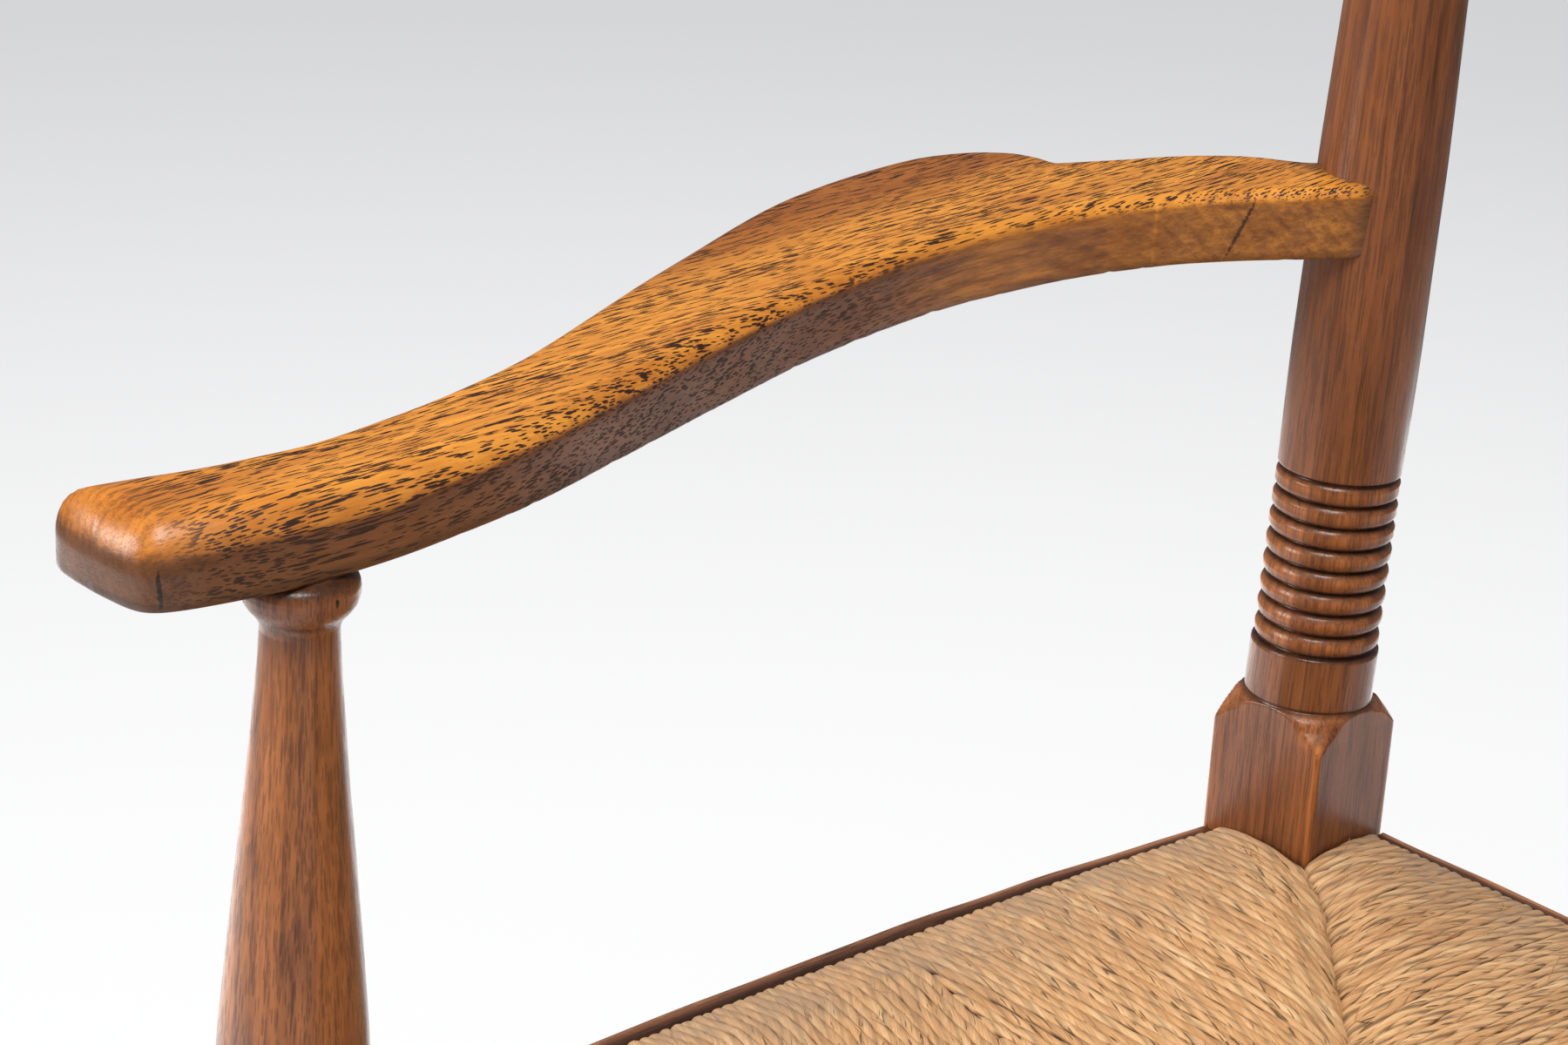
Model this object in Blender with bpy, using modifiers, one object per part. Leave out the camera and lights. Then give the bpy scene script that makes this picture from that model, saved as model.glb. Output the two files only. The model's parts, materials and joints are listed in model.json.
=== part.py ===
"""Oak rush seat armchair, modelled piece by piece as a chair maker would put it together.

Two back posts are turned from top to bottom around a square block, and bend backwards above it. Two front
posts carry the arms. Rails, stretchers, slats and arms end in tenons, which sit in sockets in the posts.
The rush goes round the four seat rails, over a packing, and thin edge strips cover its sides.

Units are metres, +Z is up, the chair faces -Y, and the sitter's right hand is at -X. Pieces are made with
the back posts' centre line at Y = 0, and the whole chair then moves so that its box is centred on the
origin, with the floor at Z = 0. Heights called "above the seat" start at the top of the edge strips.
"""

import math

import bmesh
import bpy
from mathutils import Matrix, Vector

MM = 0.001
SIDES = {"right": -1, "left": 1}

# Clearances
fit_gap = 0.3 * MM
cutter_extra = 5 * MM

# The whole chair
seat_height = 436 * MM
seat_depth = 386.2 * MM
back_spacing = 410 * MM
front_spacing = 474.6 * MM
post_top_height = 652 * MM

# Square blocks of the posts, and how the posts stand
block_side = 40.3 * MM
block_above_seat = 49.5 * MM
block_below_seat = 63.5 * MM
shoulder_height = 10.1 * MM
shoulder_radius = 20.6 * MM
shoulder_hollow = 0.7 * MM
joined_depth = 22 * MM
back_block_turn = math.radians(1.95)
bend_drop = 2.2 * MM
back_rake = math.radians(4.44)
back_splay = math.radians(1.27)
front_rake = math.radians(0.93)
front_lean = math.radians(0.33)

# Turned shaft of a back post
band_radius = 20.2 * MM
shaft_radius = 19.4 * MM
shaft_arm_radius = 19.6 * MM
shaft_top_radius = 15.2 * MM
ring_count = 9
band_length = 18.3 * MM
ring_pitch = 7.16 * MM
ring_depth = 1.7 * MM
ring_half_width = 1.1 * MM
ring_swell = 0.35 * MM
shoulder_chamfer = 1.5 * MM
finial_radius = 15.5 * MM
finial_neck_radius = 9.5 * MM
finial_height = 46 * MM

# Turned part of a front post above the block
support_foot_radius = 20.3 * MM
support_neck_radius = 10.2 * MM
support_bead_length = 17 * MM
support_bead_radius = 14.9 * MM

# Turned legs below the blocks
leg_top_radius = 19.6 * MM
leg_bottom_radius = 13.5 * MM
foot_radius = 12.5 * MM
ankle_height = 56 * MM
ankle_bead_radius = 17.2 * MM
ankle_bead_length = 11 * MM
foot_chamfer = 5 * MM
leg_taper_drop = 60 * MM

# Arms
arm_thickness = 22.4 * MM
arm_reach = 92.2 * MM
arm_nose_length = 46.3 * MM
arm_back_height = 199.9 * MM
arm_front_height = 191.5 * MM
arm_edge_radius = 4.5 * MM
arm_tenon_radius = 8 * MM
arm_tenon_length = 15 * MM
arm_tenon_root = 14 * MM
arm_tenon_out = 6 * MM
support_tenon_radius = 7.5 * MM
support_tenon_length = 13 * MM

# Seat rails
rail_thickness = 18 * MM
rail_height = 34 * MM
rail_shoulder = 4 * MM
tenon_clearance = 1.6 * MM

# Edge strips and their nails
strip_thickness = 5.5 * MM
strip_height = 46 * MM
strip_side_bow = 7.6 * MM
strip_front_bow = 5 * MM
strip_back_inset = 2.5 * MM
nail_radius = 0.9 * MM
nail_head_radius = 2.6 * MM
nail_head_height = 1.1 * MM
nail_bite = 7 * MM
side_nails = 3
front_nails = 4
back_nails = 3
nail_inset = 34 * MM

# Rush and packing
rush_edge_drop = 2.5 * MM
rush_thickness = 5.5 * MM
rush_crown = 10 * MM
rush_belly = 4 * MM
rush_edge_round = 7 * MM
seam_depth = 5 * MM
seam_width = 16 * MM
crown_reach = 34 * MM
packing_margin = 4 * MM
packing_gap = 2 * MM
notch_gap = 0.6 * MM

# Back slats, from the top one down
slat_thickness = 8.5 * MM
slat_bow = 21 * MM
slat_entry = 14 * MM
slat_heights = {"upper": 68 * MM, "middle": 58 * MM, "lower": 56 * MM}
slat_arch = {"upper": 18 * MM, "middle": 11 * MM, "lower": 9 * MM}
slat_dip = 5 * MM
slat_spacing = 46 * MM
slat_top_drop = 26 * MM
peg_radius = 3 * MM
peg_length = 24 * MM
peg_sunk = 1 * MM

# Stretchers, as heights above the floor
stretcher_middle_radius = 11 * MM
stretcher_end_radius = 7.5 * MM
stretcher_stop = 3 * MM
stretcher_plain = 4 * MM
front_stretcher_heights = {"upper": 232 * MM, "lower": 132 * MM}
side_stretcher_heights = {"upper": 184 * MM, "lower": 92 * MM}
back_stretcher_height = 138 * MM

# How finely round and curved shapes are divided
turned_steps = 16
socket_steps = 12
peg_steps = 8
nail_steps = 6
outline_steps = 2
strip_bends = 9
seat_grid = 16
slat_grid = 10
sharp_angle = math.radians(32)

# Places that follow from the sizes
back_half = back_spacing / 2
front_half = front_spacing / 2
block_half = block_side / 2
seat_splay = math.atan2(front_half - back_half, seat_depth)
front_block_turn = -seat_splay
bend_height = block_above_seat - bend_drop
shaft_base_height = seat_height + bend_height
ring_first_height = block_above_seat + band_length
shaft_arm_height = arm_back_height + arm_thickness / 2
finial_base_height = post_top_height - finial_height
support_neck_height = arm_front_height - support_bead_length
rail_drop = rush_edge_drop + rush_thickness
rail_middle = seat_height - rail_drop - rail_height / 2
rail_tenon_thickness = rail_thickness - 2 * rail_shoulder
rail_tenon_height = rail_height - 2 * rail_shoulder
rail_tenon_length = block_half - rail_tenon_thickness / 2 - tenon_clearance
rush_bottom_drop = rail_drop + rail_height + rush_thickness
rush_inset = strip_thickness + fit_gap
packing_depth = rail_height - 2 * packing_margin
arm_tilt = math.atan2(arm_back_height - arm_front_height, seat_depth)


def make_collection(name, hidden=False):
    collection = bpy.data.collections.new(name)
    bpy.context.scene.collection.children.link(collection)
    collection.hide_render = hidden
    return collection


for startup_object in list(bpy.data.objects):
    bpy.data.objects.remove(startup_object, do_unlink=True)
chair_parts = make_collection("rush_seat_armchair")
chair_cutters = make_collection("cutters", hidden=True)
chair_origin = bpy.data.objects.new("chair_origin", None)
chair_parts.objects.link(chair_origin)


def wood_like(name, colour, roughness, metallic=0.0):
    material = bpy.data.materials.new(name)
    material.use_nodes = True
    shader = material.node_tree.nodes["Principled BSDF"]
    shader.inputs["Base Color"].default_value = (*colour, 1.0)
    shader.inputs["Roughness"].default_value = roughness
    shader.inputs["Metallic"].default_value = metallic
    return material


oak_colour = (0.235, 0.078, 0.028)
golden_oak_colour = (0.46, 0.19, 0.045)
strip_colour = (0.15, 0.05, 0.022)
rush_colour = (0.50, 0.30, 0.13)
packing_colour = (0.33, 0.22, 0.11)
nail_colour = (0.10, 0.085, 0.075)


def add_object(name, data, helper=False):
    """Link a new object; a helper is a cutter or a body that is only joined into another."""
    made = bpy.data.objects.new(name, data)
    (chair_cutters if helper else chair_parts).objects.link(made)
    made.parent = chair_origin
    if helper:
        made.hide_render = True
        made.display_type = "WIRE"
    return made


def mesh_object(name, bm, helper=False):
    mesh = bpy.data.meshes.new(name)
    bm.to_mesh(mesh)
    bm.free()
    return add_object(name, mesh, helper)


def frame_along(start, direction, turn=0.0):
    """Matrix that takes +Z to the direction, starting at a point, after a turn about +Z."""
    swing = Vector((0, 0, 1)).rotation_difference(direction).to_matrix().to_4x4()
    return Matrix.Translation(start) @ swing @ Matrix.Rotation(turn, 4, "Z")


def box(name, size, placed, helper=False):
    bm = bmesh.new()
    bmesh.ops.create_cube(bm, size=1, matrix=Matrix.Diagonal((*size, 1)))
    made = mesh_object(name, bm, helper)
    made.matrix_local = placed
    return made


def rod(name, start, end, radius, helper=False, steps=socket_steps):
    """Round rod between two points."""
    along = end - start
    made = turned(name, [(0, 0), (radius, 0), (radius, along.length), (0, along.length)], helper, steps)
    made.matrix_local = frame_along(start, along)
    return made


def turned(name, outline, helper=False, steps=turned_steps):
    """Turned shape from (radius, height) points that run upwards and start and end on the axis."""
    mesh = bpy.data.meshes.new(name)
    corners = [(radius, 0, height) for radius, height in reversed(outline)]
    mesh.from_pydata(corners, [(i, i + 1) for i in range(len(corners) - 1)], [])
    made = add_object(name, mesh, helper)
    screw = made.modifiers.new("Turn", "SCREW")
    screw.steps = steps
    screw.render_steps = steps
    screw.use_merge_vertices = True
    screw.merge_threshold = 0.00001
    return made


def boolean(target, other, operation):
    modifier = target.modifiers.new(f"{operation.title()} {other.name}", "BOOLEAN")
    modifier.operation = operation
    modifier.object = other
    modifier.solver = "EXACT"


def cut(target, *cutters):
    for cutter in cutters:
        boolean(target, cutter, "DIFFERENCE")


def join(target, *others):
    for other in others:
        boolean(target, other, "UNION")


def meshed(curve_object, helper=False):
    """Mesh copy of a curve object with its caps welded on; the curve goes away."""
    name = curve_object.name
    curve_object.name = name + "_curve"
    bpy.context.view_layer.update()
    graph = bpy.context.evaluated_depsgraph_get()
    mesh = bpy.data.meshes.new_from_object(curve_object.evaluated_get(graph))
    placed = curve_object.matrix_local.copy()
    bpy.data.objects.remove(curve_object)
    bm = bmesh.new()
    bm.from_mesh(mesh)
    bmesh.ops.remove_doubles(bm, verts=bm.verts, dist=0.00002)
    bmesh.ops.recalc_face_normals(bm, faces=bm.faces)
    bm.to_mesh(mesh)
    bm.free()
    mesh.name = name
    made = add_object(name, mesh, helper)
    made.matrix_local = placed
    return made


def flat_outline(name, points, thickness, helper=False, corners=None, rounding=0.0):
    """Slab with a plan outline: straight between the points, or smooth where corners is given.

    corners holds the indices of the points that stay sharp on an otherwise smooth outline.
    rounding is the chamfer all round the slab's edges, inside its thickness and outline.
    """
    curve = bpy.data.curves.new(name, "CURVE")
    curve.dimensions = "2D"
    curve.fill_mode = "BOTH"
    curve.extrude = thickness / 2 - rounding
    curve.bevel_depth = rounding
    curve.bevel_resolution = 1
    curve.offset = -rounding
    if corners is None:
        spline = curve.splines.new("POLY")
        spline.points.add(len(points) - 1)
        for point, (x, y) in zip(spline.points, points):
            point.co = (x, y, 0, 1)
    else:
        spline = curve.splines.new("BEZIER")
        spline.bezier_points.add(len(points) - 1)
        for i, (point, (x, y)) in enumerate(zip(spline.bezier_points, points)):
            kind = "VECTOR" if i in corners else "AUTO"
            point.co = (x, y, 0)
            point.handle_left_type = kind
            point.handle_right_type = kind
        curve.resolution_u = outline_steps
    spline.use_cyclic_u = True
    return meshed(add_object(name, curve, helper), helper)


def back_point(side, height):
    """A back post's axis at a height above the floor: upright to the bend, raked and splayed above it."""
    above = max(0.0, height - shaft_base_height)
    return Vector((side * (back_half + above * math.tan(back_splay)), above * math.tan(back_rake), height))


def front_point(side, height):
    """A front post's axis at a height above the floor; the whole post is one straight turning."""
    above = height - seat_height
    across = front_half - above * math.tan(front_lean)
    return Vector((side * across, above * math.tan(front_rake) - seat_depth, height))


def block(name, placed):
    """Square block with turned shoulders at both ends, centred on the seat height before it is placed."""
    tall = block_above_seat + block_below_seat + cutter_extra
    body = box(name, (block_side, block_side, tall), placed, True)
    corner_radius = block_half * math.sqrt(2) + fit_gap
    hollow_radius = (corner_radius + shoulder_radius) / 2
    half_shoulder = shoulder_height / 2 + shoulder_hollow
    top = block_above_seat
    bottom = -block_below_seat
    shoulders = turned(name + "_shoulders", [
        (0, bottom), (shoulder_radius, bottom), (hollow_radius, bottom + half_shoulder),
        (corner_radius, bottom + shoulder_height), (corner_radius, top - shoulder_height),
        (hollow_radius, top - half_shoulder), (shoulder_radius, top), (0, top)], True)
    shoulders.matrix_local = placed
    boolean(body, shoulders, "INTERSECT")
    return body


def leg_outline(foot_cut=0.0):
    """Turned leg from the floor, or from a little below it, to inside the block."""
    bead_low = ankle_height - ankle_bead_length / 2
    bead_high = ankle_height + ankle_bead_length / 2
    block_bottom = seat_height - block_below_seat
    return [
        (0, -foot_cut), (foot_radius, -foot_cut), (leg_bottom_radius, foot_chamfer),
        (leg_bottom_radius, bead_low), (ankle_bead_radius, bead_low + ankle_bead_length * 0.3),
        (ankle_bead_radius, bead_high - ankle_bead_length * 0.3), (leg_bottom_radius, bead_high),
        (leg_top_radius, block_bottom - leg_taper_drop), (leg_top_radius, block_bottom + joined_depth),
        (0, block_bottom + joined_depth)]


def shaft_outline():
    """Turned shaft of a back post: plain band, ring grooves, slow taper and finial, from the bend up."""
    root = bend_height - joined_depth
    points = [(0, root), (band_radius - block_half * 0.2, root), (band_radius, block_above_seat),
              (band_radius, ring_first_height - ring_half_width)]
    for i in range(ring_count):
        middle = ring_first_height + i * ring_pitch
        points.append((shaft_radius - ring_depth, middle))
        points.append((shaft_radius + ring_swell, middle + ring_half_width))
        if i < ring_count - 1:
            points.append((shaft_radius + ring_swell, middle + ring_pitch - ring_half_width))
    points += [
        (shaft_radius, ring_first_height + ring_count * ring_pitch), (shaft_arm_radius, shaft_arm_height),
        (shaft_top_radius, finial_base_height - shoulder_chamfer * 4),
        (shaft_top_radius - shoulder_chamfer, finial_base_height),
        (finial_neck_radius, finial_base_height + finial_height * 0.11),
        (finial_radius, finial_base_height + finial_height * 0.41),
        (finial_radius, finial_base_height + finial_height * 0.65),
        (finial_radius * 0.45, finial_base_height + finial_height * 0.96), (0, post_top_height)]
    return [(radius, height - bend_height) for radius, height in points]


def support_outline():
    """Turned arm support: a taper from the block to a neck, and a bead that is trimmed under the arm."""
    root = block_above_seat - joined_depth
    taper = support_neck_height - block_above_seat
    bead = support_bead_length
    return [
        (0, root), (support_foot_radius * 0.8, root), (support_foot_radius, block_above_seat),
        (support_foot_radius * 0.88, block_above_seat + taper * 0.27),
        (support_foot_radius * 0.645, block_above_seat + taper * 0.68),
        (support_neck_radius, support_neck_height),
        (support_bead_radius * 0.9, support_neck_height + bead * 0.3),
        (support_bead_radius, support_neck_height + bead * 0.55),
        (support_bead_radius * 0.8, arm_front_height),
        (support_bead_radius * 0.6, arm_front_height + bead * 0.12), (0, arm_front_height + bead * 0.12)]


def arm_frame():
    """Matrix of the plane half way through the arms, which falls from the back posts to the front posts."""
    middle = seat_height + arm_back_height + arm_thickness / 2
    return Matrix.Translation((0, 0, middle)) @ Matrix.Rotation(arm_tilt, 4, "X")


def block_frame(part, side):
    """Matrix at the middle of a post's block, at the seat height and turned as the block is."""
    if part == "back":
        return Matrix.Translation((side * back_half, 0, seat_height)) @ Matrix.Rotation(
            -side * back_block_turn, 4, "Z")
    axis = front_point(side, 1) - front_point(side, 0)
    return frame_along(front_point(side, seat_height), axis, -side * front_block_turn)


def back_post(word, side):
    post = turned(f"back_post_{word}", leg_outline())
    post.matrix_local = Matrix.Translation((side * back_half, 0, 0))
    shaft = turned(f"back_shaft_{word}", shaft_outline(), True)
    bend = back_point(side, shaft_base_height)
    shaft.matrix_local = frame_along(bend, back_point(side, shaft_base_height + 1) - bend)
    join(post, block(f"back_block_{word}", block_frame("back", side)), shaft)
    return post


def front_post(word, side):
    foot = front_point(side, 0)
    post = turned(f"front_post_{word}", leg_outline(foot_cut=foot_chamfer))
    post.matrix_local = frame_along(foot, front_point(side, 1) - foot)
    support = turned(f"front_support_{word}", support_outline(), True)
    support.matrix_local = block_frame("front", side)
    wide = 2 * block_side
    under_floor = Matrix.Translation((foot.x, foot.y, -foot_chamfer))
    floor_cut = box(f"floor_cut_{word}", (wide, wide, 2 * foot_chamfer), under_floor, True)
    under_arm = Matrix.Translation((foot.x, -seat_depth, -fit_gap))
    arm_cut = box(f"arm_cut_{word}", (wide, wide, arm_thickness), arm_frame() @ under_arm, True)
    tenon_top = front_point(side, seat_height + arm_front_height + support_tenon_length)
    tenon_foot = front_point(side, seat_height + support_neck_height)
    tenon = rod(f"support_tenon_{word}", tenon_foot, tenon_top, support_tenon_radius, True)
    join(post, block(f"front_block_{word}", block_frame("front", side)), support)
    cut(post, floor_cut, arm_cut)
    join(post, tenon)
    return post


def rail_line(name):
    """Ends of a seat rail's centre line, on the posts' axes, and the posts at those ends."""
    right, left = SIDES["right"], SIDES["left"]
    ends = {
        "back": ((back_point, right), (back_point, left)),
        "front": ((front_point, left), (front_point, right)),
        "right": ((front_point, right), (back_point, right)),
        "left": ((back_point, left), (front_point, left))}
    (start_at, start_side), (end_at, end_side) = ends[name]
    return start_at(start_side, rail_middle), end_at(end_side, rail_middle)


def rail_frame(name):
    """Matrix with X along the rail from its start, Y to the outside of the seat and Z up, and the length."""
    start, end = rail_line(name)
    start, end = Vector((start.x, start.y, 0)), Vector((end.x, end.y, 0))
    along = (end - start).normalized()
    outside = Vector((0, 0, 1)).cross(along)
    placed = Matrix((along, outside, Vector((0, 0, 1)))).transposed().to_4x4()
    placed.translation = start
    return placed, (end - start).length


def seat_rail(name):
    """Rail with a tenon at each end, and the two cutters for its sockets and its channel in the rush."""
    placed, length = rail_frame(name)
    centre = placed @ Matrix.Translation((length / 2, 0, rail_middle))
    shoulder = block_half + fit_gap + rail_thickness / 2 * math.tan(seat_splay + back_block_turn)
    reach = length - 2 * (block_half - rail_tenon_length)
    rail = box(f"{name}_seat_rail", (length - 2 * shoulder, rail_thickness, rail_height), centre)
    tenon = box(f"{name}_rail_tenons", (reach, rail_tenon_thickness, rail_tenon_height), centre, True)
    join(rail, tenon)
    socket = box(f"{name}_rail_sockets", (reach + 2 * fit_gap, rail_tenon_thickness + 2 * fit_gap,
                                          rail_tenon_height + 2 * fit_gap), centre, True)
    channel = box(f"{name}_rail_channel", (length, rail_thickness + 2 * fit_gap, rail_height + 2 * fit_gap),
                  centre, True)
    return rail, socket, channel


def strip_bow(name):
    return {"right": strip_side_bow, "left": strip_side_bow, "front": strip_front_bow}.get(name, 0.0)


def strip_offset(name, share):
    """How far the strip's outer face lies outside the line between the posts' axes, along the rail."""
    bow = strip_bow(name)
    back_end = {"right": share, "left": 1 - share}.get(name, 0.0)
    return block_half + bow * 4 * share * (1 - share) - strip_back_inset * back_end


def strip_shares(name):
    """Shares of the rail's length where the strip starts, bends and ends, clear of the blocks."""
    _, length = rail_frame(name)
    count = strip_bends if strip_bow(name) else 2
    clear = block_half * (1 + math.tan(seat_splay + back_block_turn)) + fit_gap
    return [(clear + (length - 2 * clear) * i / (count - 1)) / length for i in range(count)]


def edge_strip(name):
    placed, length = rail_frame(name)
    shares = strip_shares(name)
    outer = [(share * length, strip_offset(name, share)) for share in shares]
    inner = [(x, y - strip_thickness) for x, y in reversed(outer)]
    strip = flat_outline(f"{name}_edge_strip", outer + inner, strip_height)
    strip.matrix_local = placed @ Matrix.Translation((0, 0, seat_height - strip_height / 2))
    return strip


def nail(name, head, tip):
    """Nail with a domed head, whose underside is at head."""
    length = (tip - head).length
    made = turned(name, [
        (0, -nail_head_height), (nail_head_radius * 0.55, -nail_head_height),
        (nail_head_radius, -nail_head_height * 0.45), (nail_head_radius, 0), (nail_radius, 0),
        (nail_radius, length), (0, length)], steps=nail_steps)
    made.matrix_local = frame_along(head, tip - head)
    paint(made, nail_colour, 0.5, 0.8)
    return made


def strip_nails(name, count, strip, rush, rail):
    """Nails through the strip and the rush into the rail, with their holes."""
    placed, length = rail_frame(name)
    first = block_half + nail_inset
    for i in range(count):
        distance = first + (length - 2 * first) * i / (count - 1)
        outside = strip_offset(name, distance / length) + fit_gap
        head = placed @ Vector((distance, outside, rail_middle))
        tip = placed @ Vector((distance, rail_thickness / 2 - nail_bite, rail_middle))
        made = nail(f"{name}_strip_nail_{i + 1}", head, tip)
        beyond = (tip - head).normalized() * fit_gap
        hole = rod(made.name + "_hole", head - beyond * 2, tip + beyond, nail_radius + fit_gap, True,
                   nail_steps)
        cut(strip, hole)
        cut(rush, hole)
        cut(rail, hole)


def seat_edges(y):
    """Half width of the rush at a distance y behind the back posts' centre line, with the strips' bow."""
    share = min(max(-y / seat_depth, 0.0), 1.0)
    across = back_half - y * math.tan(seat_splay)
    return across + (strip_offset("left", share) - rush_inset) / math.cos(seat_splay)


def rail_distances(x, y):
    """Distances of a point of the seat from the nearest side rail, the back rail and the front rail."""
    side = (back_half - y * math.tan(seat_splay) - abs(x)) * math.cos(seat_splay)
    return side, -y, y + seat_depth


def crown(x, y):
    """Rise of the rush: it swells away from the rails, with a valley along each corner seam."""
    near, second = sorted(rail_distances(x, y))[:2]
    swell = 1 - math.exp(-max(near, 0.0) / crown_reach)
    valley = math.exp(-(((second - near) / seam_width) ** 2)) * min(1.0, max(near, 0.0) / crown_reach)
    return rush_crown * swell - seam_depth * valley


def woven_rush():
    """Rush seat as one shell: two grids joined round the edge, which follow the crown and its valleys."""
    bm = bmesh.new()
    bmesh.ops.create_grid(bm, x_segments=seat_grid, y_segments=seat_grid, size=1)
    lower = bmesh.ops.duplicate(bm, geom=bm.verts[:] + bm.edges[:] + bm.faces[:])["geom"]
    lower_verts = [item for item in lower if isinstance(item, bmesh.types.BMVert)]
    for vert in lower_verts:
        vert.co.z = -1
    rims = [edge for edge in bm.edges if edge.is_boundary]
    bmesh.ops.bridge_loops(bm, edges=rims)
    for vert in bm.verts:
        u = math.sin(math.pi / 2 * vert.co.x)
        v = math.sin(math.pi / 2 * vert.co.y)
        share = (1 - v) / 2
        back_y = block_half - rush_inset
        front_y = -seat_depth - block_half + rush_inset - strip_front_bow * (1 - u * u)
        y = back_y + (front_y - back_y) * share
        half = seat_edges(y)
        x = u * half
        edge = min(half * (1 - abs(u)), y - front_y, back_y - y)
        short = max(0.0, rush_edge_round - edge)
        rounding = rush_edge_round - math.sqrt(rush_edge_round ** 2 - short ** 2)
        if vert.co.z == 0:
            z = seat_height - rush_edge_drop - rounding + crown(x, y)
        else:
            z = seat_height - rush_bottom_drop + rounding - crown(x, y) * rush_belly / rush_crown
        vert.co = (x, y, z)
    bmesh.ops.recalc_face_normals(bm, faces=bm.faces)
    return mesh_object("woven_rush", bm)


def inner_corner(name, next_name, inset):
    """Corner where two rails' inner faces meet, moved inwards by an inset."""
    lines = []
    for rail in (name, next_name):
        placed, length = rail_frame(rail)
        inward = -(rail_thickness / 2 + inset)
        lines.append((placed @ Vector((0, inward, 0)), placed @ Vector((length, inward, 0))))
    (a, b), (c, d) = lines
    run, other = b - a, d - c
    share = ((c.x - a.x) * other.y - (c.y - a.y) * other.x) / (run.x * other.y - run.y * other.x)
    return a + run * share


def seat_corners(inset):
    order = ("back", "left", "front", "right")
    return [inner_corner(order[i - 1], order[i], inset) for i in range(4)]


def packing_cavity():
    """Space between the rails and between the two layers of rush; it opens into the rail channels."""
    corners = [(corner.x, corner.y) for corner in seat_corners(-rail_thickness / 4)]
    cavity = flat_outline("packing_cavity", corners, packing_depth + 2 * fit_gap, True)
    cavity.matrix_local = Matrix.Translation((0, 0, rail_middle))
    return cavity


def post_notches():
    """Cutters that keep the rush and its packing clear of the four blocks."""
    side_length = block_side + 2 * notch_gap
    size = (side_length, side_length, 2 * (block_above_seat + block_below_seat))
    return [box(f"{part}_notch_{word}", size, block_frame(part, side), True)
            for word, side in SIDES.items() for part in ("back", "front")]


def packing(name, outline, notches):
    """Wedge of stuffing between the layers, drawn in a little from its outline."""
    middle = sum((Vector(point) for point in outline), Vector((0, 0))) / len(outline)
    shrink = [Vector(point) + (middle - Vector(point)).normalized() * 2 * packing_gap for point in outline]
    pad = flat_outline(f"rush_packing_{name}", [tuple(point) for point in shrink], packing_depth)
    pad.matrix_local = Matrix.Translation((0, 0, rail_middle))
    cut(pad, *notches)
    paint(pad, packing_colour, 0.95)


def rush_packing(notches):
    """Four wedges, one behind each rail, that meet along a short ridge at the seat's centre.

    The ridge runs across a wide seat and front to back on a deep one.
    """
    corners = [corner.xy for corner in seat_corners(packing_gap)]
    spare = (back_half + front_half - seat_depth) / 2
    across, along = max(spare, packing_gap), max(-spare, packing_gap)
    if spare >= 0:
        meetings = [(-across, 0), (across, 0), (across, 0), (-across, 0)]
    else:
        meetings = [(0, along), (0, along), (0, -along), (0, -along)]
    meetings = [Vector((x, y - seat_depth / 2)) for x, y in meetings]
    for i, name in enumerate(("back", "left", "front", "right")):
        after = (i + 1) % 4
        outline = [corners[i], corners[after], meetings[after]]
        if meetings[i] != meetings[after]:
            outline.append(meetings[i])
        packing(name, outline, notches)


def arm_outline():
    """Arm's plan from the back post along the inner edge, round the nose and back along the outer edge.

    Each point has a share of the way from the back post to the front post, a distance out from the line
    between the posts' axes as a share of the arm's reach, and a distance further forward as a share of the
    nose's length.
    """
    inner = [(0, -0.098, -0.259), (0, -0.092, 0.086), (0.11, 0.179, 0), (0.174, 0.293, 0), (0.25, 0.369, 0),
             (0.332, 0.394, 0), (0.405, 0.38, 0), (0.52, 0.304, 0), (0.64, 0.19, 0), (0.76, 0.049, 0),
             (0.87, -0.081, 0), (1, -0.136, 0)]
    nose = [(1, -0.087, 0.432), (1, -0.038, 0.713), (1, 0.043, 0.907), (1, 0.174, 0.994), (1, 0.325, 1),
            (1, 0.399, 0.886), (1, 0.352, 0.626), (1, 0.26, 0.302)]
    outer = [(1, 0.201, 0), (0.88, 0.222, 0), (0.8, 0.282, 0), (0.75, 0.331, 0), (0.635, 0.537, 0),
             (0.512, 0.748, 0), (0.39, 0.927, 0), (0.285, 1, 0), (0.235, 0.996, 0), (0.198, 0.949, 0),
             (0.171, 0.857, 0), (0.162, 0.721, 0), (0.13, 0.624, 0), (0.088, 0.531, 0), (0.05, 0.445, 0),
             (0.018, 0.325, 0), (0, 0.211, 0.043), (0, 0.174, -0.259)]
    notch_corner = 11
    before_outer = len(inner) + len(nose)
    return inner + nose + outer, {0, before_outer + notch_corner, before_outer + len(outer) - 1}


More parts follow.
